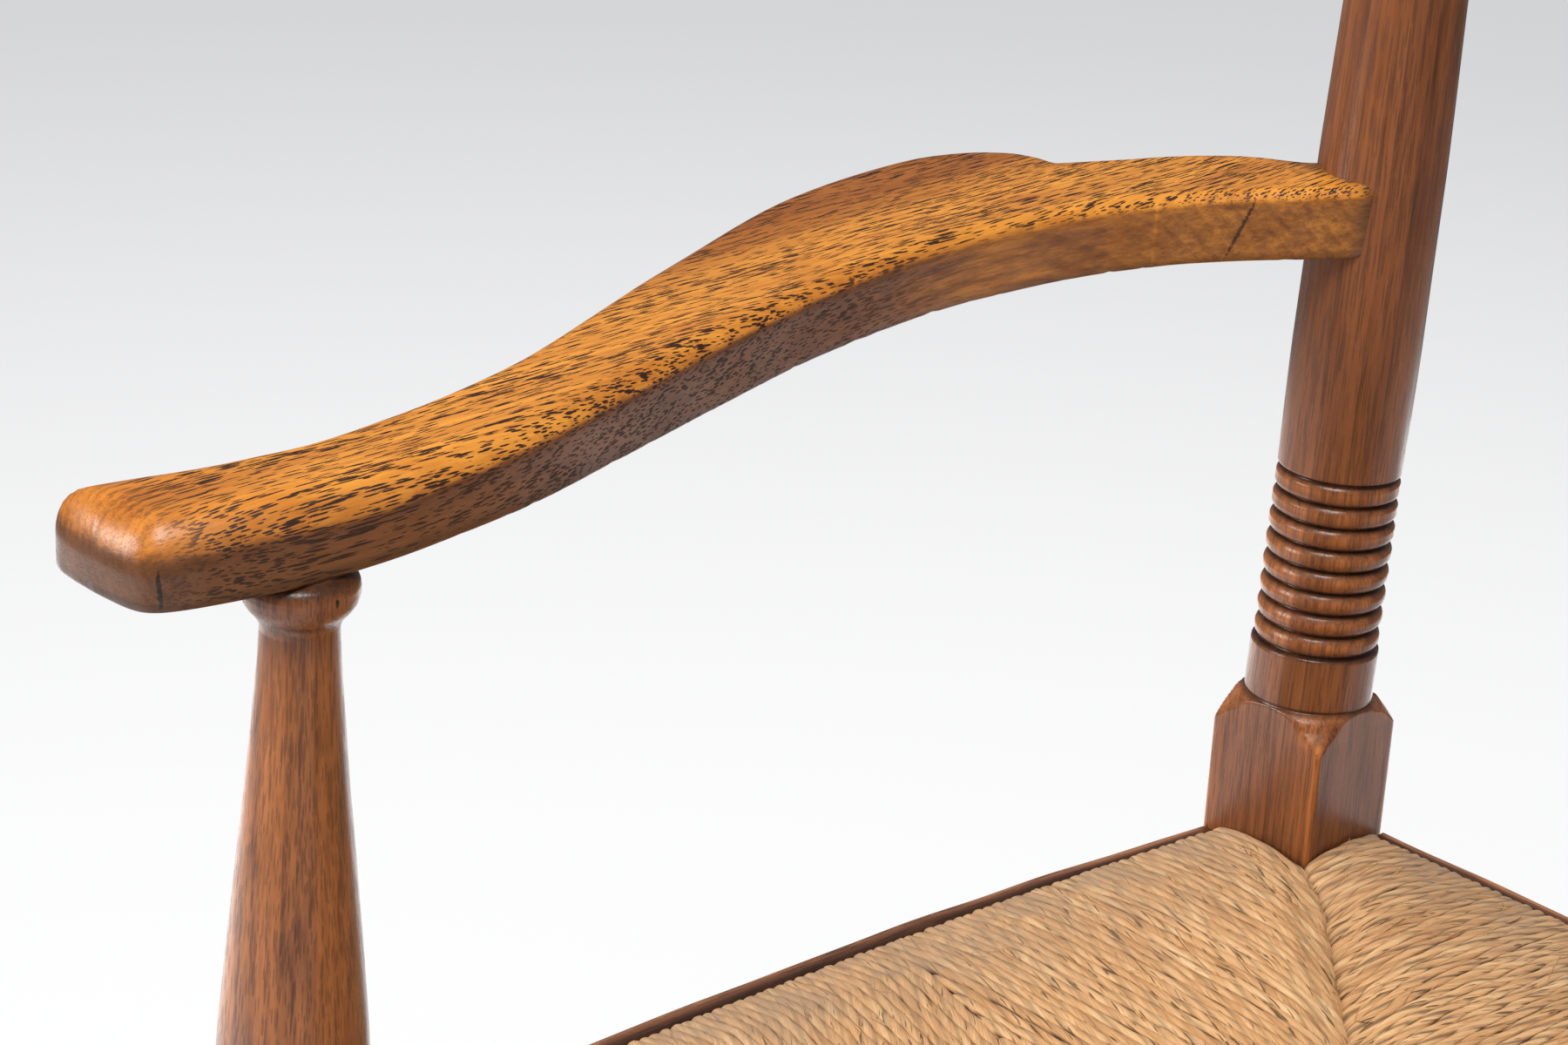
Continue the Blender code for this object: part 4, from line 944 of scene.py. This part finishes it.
for i, (name, height) in enumerate({"upper": 0.232, "lower": 0.132}.items()):
    stretcher(f"front_stretcher_{name}", post_axis("front", -1, height), post_axis("front", 1, height),
              0.1 + i)
stretcher("back_stretcher", post_axis("back", -1, 0.138), post_axis("back", 1, 0.138), 2.1)
for i, (word, side) in enumerate(SIDES.items()):
    for j, (name, height) in enumerate({"upper": 0.184, "lower": 0.092}.items()):
        stretcher(f"side_stretcher_{name}_{word}", post_axis("back", side, height),
                  post_axis("front", side, height), 3.1 + i + 2 * j)

# %% Pegs and nails
def peg(name, start, end, seed):
    """Round peg with slightly domed ends."""
    length = np.linalg.norm(np.array(end) - np.array(start))
    dome = np.array([0, 0.15, 0.5, 1.2]) * MM
    distance = np.concatenate([dome, length - dome[::-1]])
    radius = np.array([0.6, 1.9, 2.6, 2.95, 2.95, 2.6, 1.9, 0.6]) * MM
    turned_rod(f"{name}_wood", start, end, (distance, radius), stained_oak, name, "oak", 20, seed)


metal, tree, shader = new_material("dark nail iron")
shader.inputs["Metallic"].default_value = 1.0
spots = noise(tree, object_place(tree), 900.0, 3.0)
iron = mixed(tree, between(tree, spots, 0.4, 0.65), colour(0.22, 0.19, 0.17), colour(0.10, 0.065, 0.05))
connect(tree, shader.inputs, Base_Color=iron, Roughness=between(tree, spots, 0.3, 0.7, 0.35, 0.65))

for i, (word, side) in enumerate(SIDES.items()):
    height = seat_top + arm_back_height + arm_thickness / 2
    centre = post_axis("back", side, height)
    y = centre[1] - shaft_arm_radius + 15 * MM * 0.55
    outside = math.sqrt(shaft_arm_radius**2 - (y - centre[1])**2)
    peg(f"arm_peg_{word}", (centre[0] + side * outside, y, height),
        (side * (back_half + 6 * MM - 9.6 * MM), y, height), 0.3 + i)
    for j, (name, (low, high, _)) in enumerate(slat_sizes.items()):
        middle = post_axis("back", side, seat_top + (low + high) / 2 * MM)
        start = middle - np.array([side * (shaft_top_radius - slat_entry / 2), shaft_top_radius - 1 * MM, 0])
        peg(f"{name}_slat_peg_{word}", start, start + np.array([0, 24 * MM, 0]), 0.5 + i + 2 * j)

nail_distance = np.array([0, 0.05, 0.25, 0.55, 0.9, 1.1, 1.1, 1.3]) * MM
nail_radius = np.array([0.3, 1.1, 1.9, 2.4, 2.6, 2.5, 0.95, 0.9, 0.9, 0.1]) * MM
for name, count in {"right": 3, "left": 3, "front": 4, "back": 3}.items():
    length = rail_line(name)[3]
    first = block_half + 34 * MM
    for i in range(count):
        distance = first + (length - 2 * first) * i / (count - 1)
        outside = strip_offset(name, distance / length) + 0.3 * MM
        head = on_rail(name, distance, outside + 1.1 * MM, rail_middle)
        tip = on_rail(name, distance, rail_thickness / 2 - 7 * MM, rail_middle)
        shank = np.linalg.norm(tip - head)
        profile = (np.append(nail_distance, [shank - 3 * MM, shank]), nail_radius)
        nail_name = f"{name}_strip_nail_{i + 1}"
        turned_rod(f"{nail_name}_iron", head, tip, profile, metal, nail_name, "nail", 16)
print("pieces made so far:", len(made_pieces))

# %% [markdown]
# ## Stuffing between the two layers of rush
#
# The weaver pushes offcuts of rush between the upper and lower strands, one wedge behind each rail. They are
# almost hidden, so each is a simple pillow: an outline drawn in towards its middle, thinner to its edge.

# %% Packing
packing_material, tree, shader = new_material("rush packing")
crumbs = noise(tree, object_place(tree), 240.0, 5.0, 0.7)
offcuts = mixed(tree, between(tree, crumbs, 0.35, 0.65), colour(0.08, 0.045, 0.02), colour(0.30, 0.19, 0.09))
shader.inputs["Roughness"].default_value = 0.9
connect(tree, shader.inputs, Base_Color=offcuts, Normal=bumps(tree, 0.6, 0.002, crumbs))


def pillow(outline, thickness):
    """Closed pad over a plan outline: height is the fourth-power curve (1 - share**4)**(1/2)."""
    centre = outline.mean(0)
    share = np.concatenate([np.linspace(0.02, 1, 14)**0.7, np.linspace(1, 0.02, 14)[1:]**0.7])
    upper = np.repeat([1.0, -1.0], [14, 13])
    plan = centre + share[:, None, None] * (outline - centre)
    rise = upper * np.sqrt(np.maximum(1 - share**4, 0)) * thickness / 2
    return plan, np.broadcast_to(rise[:, None], plan.shape[:2])


for name in rail_corners:
    length = rail_line(name)[3]
    spare = (back_half + front_half - seat_depth) / 2
    meet = spare if name in ("back", "front") else 1.5 * MM
    size, half_meet = length / MM, meet / MM
    # Corners in millimetres along the rail and into the seat
    knots = np.array([(27, 12.5), (size - 27, 12.5), (size - 29, 26), (size / 2 + half_meet, 183),
                      (size / 2 - half_meet, 183), (29, 26)]) * MM
    if name in SIDES:
        knots[3:5, 1] = 160 * MM
    shares = np.linspace(0, 1, 16, endpoint=False)[:, None]
    outline = np.concatenate([knots[i] * (1 - shares) + knots[(i + 1) % 6] * shares for i in range(6)])
    plan, rise = pillow(outline, 26 * MM)
    points = on_rail(name, plan[..., 0], -plan[..., 1], rise + rail_middle)
    pad = skin(f"rush_packing_{name}_pad", points, points, packing_material, [f"rush_packing_{name}"],
               "packing")

# %% [markdown]
# ## The shape of the seat
#
# The rush swells away from the rails and sinks along the four seams where the panels meet. Which panel a
# point belongs to depends on which rail is nearest, so the seams are lines of nearly equal distance.

# %% Rush surface
rush_crown, seam_depth, seam_width, crown_reach, seam_reach = 10 * MM, 6.5 * MM, 15 * MM, 34 * MM, 60 * MM
rush_top_drop, swell_start = -1.2 * MM, 18 * MM
rush_bottom = rush_edge_drop + 2 * rush_thickness + rail_height
rush_belly, side_gain = 0.4, 8.5 * MM


def rail_distances(x, y):
    """Distances of points from the right, left, back and front rails' centre lines."""
    half = back_half - y * math.tan(seat_splay)
    slant = math.cos(seat_splay)
    return np.stack([(half + x) * slant, (half - x) * slant, -y, y + seat_depth])


def panel_distances(x, y):
    """The same, less what the side panels gain on the others away from the corners of the seat."""
    distances = rail_distances(x, y)
    distances[:2] -= side_gain * soft_step(12 * MM, 52 * MM, distances[:2])
    return distances


def crown(x, y):
    """Rise of the rush above its edge: an exponential swell, less a valley along each seam."""
    distances = panel_distances(x, y)
    sides = np.sort(np.stack([np.minimum(distances[0], distances[1]), distances[2], distances[3]]), axis=0)
    near = np.maximum(sides[0] + swell_start, 0)
    valley = np.exp(-((sides[1] - sides[0]) / seam_width)**2) * np.minimum(1, near / seam_reach)
    return rush_crown * (1 - np.exp(-near / crown_reach)) - seam_depth * valley


# %% [markdown]
# ## Twisted strands
#
# Each strand of rush is three twisted leaves. It comes out of a seam under the seat, goes round the rail and
# back over the top to the seam, where it dives between its neighbours. The section has three soft lobes, and
# the twist turns it slowly as it travels. Where the hollows of two neighbouring strands meet, a dark lens of
# shadow opens between them, as on the real seat.

# %% Strand helpers
strand_pitch, strand_radius, strand_flatness = 3.97 * MM, 2.4 * MM, 0.63
strand_sides = 16
twist_length = 42 * MM
rush_rng = np.random.default_rng(41)


def resample(path, steps):
    """Points along a dense path, spaced by the wanted step at each of its points."""
    run = np.linalg.norm(np.diff(path, axis=0), axis=1)
    cost = np.concatenate([[0], np.cumsum(run / steps[1:])])
    where = np.linspace(0, cost[-1], max(int(round(cost[-1])), 6) + 1)
    return stacked(*(np.interp(where, cost, column) for column in path.T))


def strand(path, sideways, tone, hollow):
    """One twisted strand along a path of world points: its rings of points, and the values of each point.

    `hollow` is how deep the three creases are, as a share of the radius.
    """
    tangent = np.gradient(path, axis=0)
    tangent /= np.linalg.norm(tangent, axis=1)[:, None]
    across = sideways - (tangent @ sideways)[:, None] * tangent
    across /= np.linalg.norm(across, axis=1)[:, None]
    up = np.cross(tangent, across)
    travel = np.concatenate([[0], np.cumsum(np.linalg.norm(np.diff(path, axis=0), axis=1))])
    seed = int(rush_rng.integers(1 << 30))
    start, speed = rush_rng.uniform(0, 2 * math.pi), rush_rng.uniform(0.88, 1.12)
    twist = start + 2 * math.pi * travel / twist_length * speed + 0.5 * ripple(travel / MM, seed, 4, 40, 140)
    swell = 1 + 0.05 * ripple(travel / MM, seed + 1, 5, 12, 60)
    angle = np.linspace(0, 2 * math.pi, strand_sides, endpoint=False)[None, :]
    lobe = angle - twist[:, None]
    fold = (0.5 - 0.5 * np.cos(3 * lobe))**1.4
    reach = 1 - hollow * fold
    size = (strand_radius * swell)[:, None, None]
    shift = 0.15 * MM * ripple(travel / MM, seed + 2, 5, 14, 50)[:, None, None]
    lift = 0.14 * MM * ripple(travel / MM, seed + 3, 5, 14, 50)[:, None, None]
    ring = (reach * np.cos(angle))[..., None] * across[:, None] + strand_flatness * (
        reach * np.sin(angle))[..., None] * up[:, None]
    points = path[:, None] + size * ring + shift * across[:, None] + lift * up[:, None]
    place = stacked(reach * np.cos(lobe) * strand_radius, reach * np.sin(lobe) * strand_radius,
                    travel[:, None])
    place = place + rush_rng.uniform(-1, 1, 3) * np.array([0.05, 0.05, 3.0])
    leaf = tone[np.floor((1.5 * lobe / math.pi + 0.5) % 3).astype(int)]
    # Painted shade: dark in the hollows between the leaves and on the flanks where neighbouring strands touch
    flank_shade = soft_step(0.70, 0.92, np.abs(np.cos(angle)))
    crease = np.maximum(4 * hollow * soft_step(0.4, 0.95, fold), flank_shade)
    return points, place, leaf, crease


def join_strands(name, strands, dust_of, nodes):
    """One mesh from many strands, each closed at both ends."""
    faces, total = [], 0
    for points, *_ in strands:
        faces.append(shell_faces(*points.shape[:2], start=total))
        total += points.shape[0] * points.shape[1] + 2
    quads, fans = (np.concatenate(part) for part in zip(*faces))
    vertices, places, tones, creases = (np.concatenate([with_ends(values) for values in part])
                                        for part in zip(*strands))
    mesh = build_mesh(name, vertices, quads, fans)
    add_values(mesh, fibre_at=places, tone=tones, crease=creases, dust=dust_of(vertices))
    return add_piece(name, mesh, rush_material, nodes)


# %% [markdown]
# The rush is greenish tan to gold, each leaf with its own tone, streaked along its fibres. In places painted
# shade darkens the creases between leaves, the flanks where strands touch and short slits between them, and
# dust makes the seat greyer near the edge strips, where nobody's clothes rub it.

# %% Rush material
rush_material, tree, shader = new_material("twisted rush")
fibre_place = point_value(tree, "fibre_at", vector=True)
fibres = noise(tree, stretched(tree, fibre_place, (3600, 3600, 90)), detail=3.0, roughness=0.7)
patches = noise(tree, stretched(tree, fibre_place, (500, 500, 60)), detail=3.0)
leaf_tone = point_value(tree, "tone")
value = plus(tree, times(tree, between(tree, fibres, 0.34, 0.68), 0.45),
             times(tree, between(tree, patches, 0.3, 0.7), 0.3))
value = plus(tree, value, times(tree, leaf_tone, 0.3), clamp=True)
ramp = node(tree, "ValToRGB", Fac=value)
stops = [(0.0, colour(0.36, 0.155, 0.050)), (0.3, colour(0.60, 0.305, 0.125)),
         (0.6, colour(0.80, 0.455, 0.205)), (1.0, colour(0.97, 0.680, 0.370))]
for position, _ in stops[1:-1]:
    ramp.color_ramp.elements.new(position)
for element, (position, shade) in zip(ramp.color_ramp.elements, stops):
    element.position = position
    element.color = shade
rush_colour = ramp.outputs[0]
# Painted shade: short dark slits between the strands
gaps = noise(tree, stretched(tree, fibre_place, (900, 900, 85)), detail=2.0)
slit_shade = between(tree, gaps, 0.63, 0.67, 0.0, 0.85)
# Painted shade in the creases and on the flanks, in patches
crease = times(tree, point_value(tree, "crease"), between(tree, patches, 0.40, 0.56, 0.1, 0.95))
# Colour of the painted shade in creases, on flanks and in slits
rush_colour = mixed(tree, calc(tree, "MAXIMUM", slit_shade, crease), rush_colour, colour(0.07, 0.032, 0.013))
cloud = noise(tree, object_place(tree), 60.0, 4.0, 0.65)
dust = times(tree, point_value(tree, "dust"), between(tree, cloud, 0.3, 0.65, 0.35, 1.0), clamp=True)
rush_colour = mixed(tree, times(tree, dust, 0.75), rush_colour, colour(0.39, 0.26, 0.165))
shader.inputs["Specular IOR Level"].default_value = 0.15
connect(tree, shader.inputs, Base_Color=rush_colour, Roughness=between(tree, fibres, 0.3, 0.7, 0.85, 0.7),
        Normal=bumps(tree, 0.6, 0.0003, minus(tree, fibres, slit_shade)))

# %% [markdown]
# ## Weaving the four panels
#
# A strand is placed by where it crosses its rail. On the side panels the strands in front of a second,
# shallow seam turn towards the front of the seat by up to 16 degrees, and short strands that start on that
# seam fill the wedge behind them.

# %% Panels
side_turn = math.radians(16)
turn_start = 163 * MM
wrap_radius = 1.8 * MM
dive_radius, dive_depth = 4.5 * MM, 4.5 * MM
# Steps along a strand: hidden below, up the wall, round the corner and on top; and of the dense path on top
below_step, wall_step, corner_step, top_step, dense_step = 6 * MM, 4 * MM, 0.8 * MM, 2.4 * MM, 0.7 * MM
shortest_filler = 15 * MM
rail_order = ["right", "left", "back", "front"]


def strand_turn(name, position, length):
    """Tangent of a strand's turn towards the front, for strands that cross a side rail past the seam."""
    if name not in SIDES:
        return 0.0
    forward = position if name == "left" else length - position
    if forward < turn_start:
        return 0.0
    easing = float(soft_step(15 * MM, 85 * MM, seat_depth - forward - block_half))
    return math.tan(side_turn) * easing * (1 if name == "left" else -1)


def seam_distance(name, position, slope):
    """How far into the seat a strand runs before another rail is nearer than its own."""
    start, along, outwards, _ = rail_line(name)
    reach = np.arange(12 * MM, 215 * MM, 0.25 * MM)
    plan = start + (position + slope * reach)[:, None] * along - reach[:, None] * outwards
    distances = panel_distances(plan[:, 0], plan[:, 1])
    own = distances[rail_order.index(name)]
    outside = own > distances.min(0) + 1e-9
    return reach[np.argmax(outside)] if outside.any() else reach[-1]


def top_line(name, position, slope, reach, layer):
    """Centre of a strand on the upper (layer 1) or lower (layer -1) side, at distances into the seat."""
    points = on_rail(name, position + slope * np.maximum(reach, 0), -reach, 0.0)
    rise = crown(points[:, 0], points[:, 1] - back_line)
    radius = strand_radius * strand_flatness
    if layer > 0:
        points[:, 2] = seat_top - rush_top_drop - radius + rise
    else:
        points[:, 2] = seat_top - rush_bottom + radius - rise * rush_belly
    return points


def dive(points, layer):
    """Bends the end of a strand into the seam along a quarter of an ellipse."""
    travel = np.concatenate([[0], np.cumsum(np.linalg.norm(np.diff(points[::-1], axis=0), axis=1))])[::-1]
    share = np.clip(1 - travel / dive_radius, 0, 1)
    sunk = points.copy()
    sunk[:, 2] -= layer * dive_depth * (1 - np.sqrt(1 - share**2 * 0.999))
    return sunk


def full_strand(name, position, length, slope, overlap):
    """Path from the seam below the seat, round the rail, to the seam above it."""
    offset = strip_offset(name, position / length) - rush_inset - strand_radius * strand_flatness
    lower_end = seam_distance(name, position, 0.0) - 1.5 * MM
    upper_end = seam_distance(name, position, slope) + overlap
    below = np.arange(lower_end, -offset + wrap_radius, -1 * MM)
    above = np.arange(-offset + wrap_radius, upper_end, dense_step)
    lower = dive(top_line(name, position, 0.0, below, -1)[::-1], -1)[::-1]
    upper = dive(top_line(name, position, slope, above, 1), 1)
    high, low = upper[0, 2] - seat_top, lower[-1, 2] - seat_top
    turn = np.linspace(0, math.pi / 2, 10)[1:-1]
    corner_low = on_rail(name, position, offset - wrap_radius + wrap_radius * np.sin(turn),
                         low + wrap_radius - wrap_radius * np.cos(turn))
    wall = on_rail(name, position, offset, np.linspace(low + wrap_radius, high - wrap_radius, 24))
    corner_high = on_rail(name, position, offset - wrap_radius + wrap_radius * np.cos(turn),
                          high - wrap_radius + wrap_radius * np.sin(turn))
    path = np.concatenate([lower, corner_low, wall, corner_high, upper])
    counts = [len(lower) + 8, 24, 12, len(upper) - 4]
    steps = np.repeat([below_step, wall_step, corner_step, top_step], counts)
    return resample(path, steps)


def leaf_tones():
    """Three tones for one strand: its own tone, and a smaller step for each of its leaves."""
    return rush_rng.uniform(0.2, 0.8) + rush_rng.uniform(-0.2, 0.2, 3)


def weave_panel(name):
    """Strands of one panel, in two pieces that hold every second strand each."""
    start, along, _, length = rail_line(name)
    sideways = np.array([along[0], along[1], 0.0])
    clear = block_half + 0.8 * MM + strand_radius
    count = int(round((length - 2 * clear) / strand_pitch)) + 1
    positions = np.linspace(clear, length - clear, count)
    positions[1:-1] += rush_rng.uniform(-0.22, 0.22, count - 2) * MM
    overlap = (-1.5 if name in SIDES else 0.8) * MM
    hollow = 0.2 if name == "back" else 0.12
    strands = []
    for position in positions:
        slope = strand_turn(name, position, length)
        path = full_strand(name, position, length, slope, overlap)
        strands.append(strand(path, sideways, leaf_tones(), hollow))
    if name in SIDES:
        direction = 1 if name == "left" else -1
        for k in range(1, 14):
            forward = turn_start + k * strand_pitch
            position = forward if name == "left" else length - forward
            begin = (k - 0.45) * strand_pitch / math.tan(side_turn)
            end = seam_distance(name, position, 0.0) + overlap
            if end - begin < shortest_filler:
                continue
            reach = np.arange(begin, end, dense_step)
            line = dive(dive(top_line(name, position, 0.0, reach, 1), 1)[::-1], 1)[::-1]
            path = resample(line, np.full(len(line), top_step))
            strands.append(strand(path, sideways, leaf_tones(), hollow))

    def dust_of(vertices):
        """More dust beside the rails."""
        plan = vertices[:, :2] - np.array([0, back_line])
        distance = rail_distances(plan[:, 0], plan[:, 1]).min(0)
        return np.exp(-np.maximum(distance, 0) / (30 * MM))

    for part, some in (("a", strands[::2]), ("b", strands[1::2])):
        piece = join_strands(f"rush_{name}_{part}", some, dust_of, ["woven_rush"])
    print(name, "panel:", len(strands), "strands,", len(piece.data.polygons), "faces in its second half")


for name in rail_order:
    weave_panel(name)

# %% [markdown]
# Old rush sheds: thin ends of leaf stand off the strands, most of them by the seams and beside the laths.
# Each is a short tapering hair that follows its strand and lifts at one end in a shallow curve.

# %% Loose fibres
def loose_fibre(name):
    """A tapered hair on a panel: a line that lies on the rush and rises with the cube of its length."""
    start, along, outwards, length = rail_line(name)
    position = rush_rng.uniform(0.06, 0.94) * length
    seam = seam_distance(name, position, 0.0)
    near_edge = rush_rng.uniform() < 0.45
    begin = rush_rng.uniform(2 * MM, 26 * MM) if near_edge else rush_rng.uniform(0.15, 0.97) * seam
    size = rush_rng.uniform(5, 20) * MM
    share = np.linspace(0, 1, 9)
    aim = rush_rng.normal(0, 0.22)
    sway = rush_rng.normal(0, 1.2) * MM * share**2
    reach = begin + size * share * rush_rng.choice([-1, 1])
    spot = position + size * share * aim + sway
    line = on_rail(name, spot, -np.clip(reach, -1 * MM, seam), 0.0)
    rise = crown(line[:, 0], line[:, 1] - back_line)
    line[:, 2] = seat_top - rush_top_drop + rise + rush_rng.uniform(0.0, 0.25) * MM \
        + rush_rng.exponential(0.9) * MM * share**3
    sideways = np.array([along[0], along[1], 0.0])
    angle = np.linspace(0, 2 * math.pi, 4, endpoint=False)[None, :, None]
    thickness = rush_rng.uniform(0.06, 0.14) * MM * (1 - 0.75 * np.abs(2 * share - 1)**3)[:, None, None]
    ring = np.cos(angle) * sideways * rush_rng.uniform(1, 2.6) + np.sin(angle) * np.array([0, 0, 1.0])
    points = line[:, None] + thickness * ring
    place = points - line[0] + rush_rng.uniform(-1, 1, 3) * 0.05
    tone = np.full(points.shape[:2], rush_rng.uniform(0.1, 1.1))
    return points, place, tone, np.zeros(points.shape[:2])


fibre_counts = {"right": 90, "left": 90, "back": 80, "front": 90}
hairs = [loose_fibre(name) for name, count in fibre_counts.items() for _ in range(count)]
join_strands("rush_loose_fibres", hairs, lambda vertices: np.zeros(len(vertices)), ["woven_rush"])
print("loose fibres:", len(hairs))

# %% [markdown]
# ## Camera
#
# The camera stands in front of the chair, to its left and a metre above the floor, and looks down over the
# seat at the right arm. A 90 mm lens keeps the perspective calm.

# %% Camera
camera_turn, camera_dip, camera_roll = (math.radians(angle) for angle in (43.9609, 23.6108, 2.9723))
camera_place = np.array([0.6630 - back_half, -0.9326 + back_line, 0.5936 + seat_top])
look = np.array([-math.sin(camera_turn) * math.cos(camera_dip), math.cos(camera_turn) * math.cos(camera_dip),
                 -math.sin(camera_dip)])
level = np.array([math.cos(camera_turn), math.sin(camera_turn), 0])
upright = np.cross(level, look)
camera_x = math.cos(camera_roll) * level + math.sin(camera_roll) * upright
camera_y = -math.sin(camera_roll) * level + math.cos(camera_roll) * upright
camera_data = bpy.data.cameras.new("camera")
camera_data.lens = 90
camera_data.sensor_width = 36
camera_data.clip_start = 0.1
camera = bpy.data.objects.new("camera", camera_data)
bpy.context.scene.collection.objects.link(camera)
turned_to = np.stack([camera_x, camera_y, -look], axis=1)
placed = np.eye(4)
placed[:3, :3] = turned_to
placed[:3, 3] = camera_place
camera.matrix_world = Matrix(placed.tolist())
bpy.context.scene.camera = camera

# %% [markdown]
# ## Studio
#
# The chair stands on a plain pale floor. A large soft light hangs above it, a window shines from the left
# and a weak light fills the shadows. Camera rays see the floor white near the chair and pale grey further
# off, as a swept paper backdrop looks. The gloss on the wood mirrors a floor that is brighter to the left.

# %% Floor, light and world
floor_mesh = bpy.data.meshes.new("studio_floor")
floor_half = 12.0
floor_corners = [(x * floor_half, y * floor_half, 0) for x, y in ((-1, -1), (1, -1), (1, 1), (-1, 1))]
floor_mesh.from_pydata(floor_corners, [], [(0, 1, 2, 3)])
floor = bpy.data.objects.new("studio_floor", floor_mesh)
bpy.context.scene.collection.objects.link(floor)
far_grey = colour(0.68, 0.68, 0.69)
floor_material, tree, shader = new_material("studio paper")
shader.inputs["Base Color"].default_value = colour(0.82, 0.82, 0.83)
shader.inputs["Roughness"].default_value = 0.9
rays = node(tree, "LightPath").outputs
place = object_place(tree)
far = node(tree, "VectorMath", {"operation": "LENGTH"}, i0=place).outputs["Value"]
paper = mixed(tree, between(tree, far, 0.9, 3.0), colour(1.04, 1.04, 1.04), far_grey)
glow = node(tree, "Emission", Color=paper, Strength=1.0).outputs[0]
shadowed = node(tree, "MixShader", i0=0.80, i1=shader.outputs[0], i2=glow).outputs[0]
from_left = node(tree, "SeparateXYZ", Vector=place).outputs[0]
lit = times(tree, between(tree, from_left, -0.5, 0.4, 2.3, 1.1), between(tree, far, 0.9, 1.3, 0.6, 1.0))
lit = times(tree, lit, between(tree, far, 1.6, 1.95, 1.0, 0.08))
mirrored = node(tree, "Emission", Strength=lit).outputs[0]
shown = node(tree, "MixShader", i0=rays["Is Glossy Ray"], i1=shader.outputs[0], i2=mirrored).outputs[0]
shown = node(tree, "MixShader", i0=rays["Is Camera Ray"], i1=shown, i2=shadowed).outputs[0]
connect(tree, tree.nodes["Material Output"].inputs, Surface=shown)
floor_mesh.materials.append(floor_material)

world = bpy.data.worlds.new("studio")
bpy.context.scene.world = world
world.use_nodes = True
sky_tree = world.node_tree
sky = sky_tree.nodes["Background"]
sky_rays = node(sky_tree, "LightPath").outputs
room = mixed(sky_tree, sky_rays["Is Glossy Ray"], colour(0.52, 0.53, 0.56), colour(0.15, 0.15, 0.16))
connect(sky_tree, sky.inputs, Color=mixed(sky_tree, sky_rays["Is Camera Ray"], room, far_grey))


def soft_light(name, place, target, size, power):
    """Square area lamp that faces a target."""
    lamp = bpy.data.lights.new(name, "AREA")
    lamp.shape = "SQUARE"
    lamp.size = size
    lamp.energy = power
    holder = bpy.data.objects.new(name, lamp)
    bpy.context.scene.collection.objects.link(holder)
    away = np.array(place, float) - np.array(target, float)
    away /= np.linalg.norm(away)
    sideways = np.cross((0.0, 1.0, 0.0), away)
    sideways /= np.linalg.norm(sideways)
    facing = np.column_stack([sideways, np.cross(away, sideways), away, place])
    holder.matrix_world = Matrix([*facing.tolist(), [0, 0, 0, 1]])


soft_light("overhead", (0.35, -0.80, 2.7), (0, 0, 0.5), 1.1, 35)
soft_light("left window", (-1.6, -2.0, 1.5), (0, 0, 0.55), 1.0, 34)
soft_light("fill", (2.2, -1.2, 1.6), (0, 0, 0.5), 1.5, 1.5)

bpy.context.scene.view_settings.view_transform = "Standard"
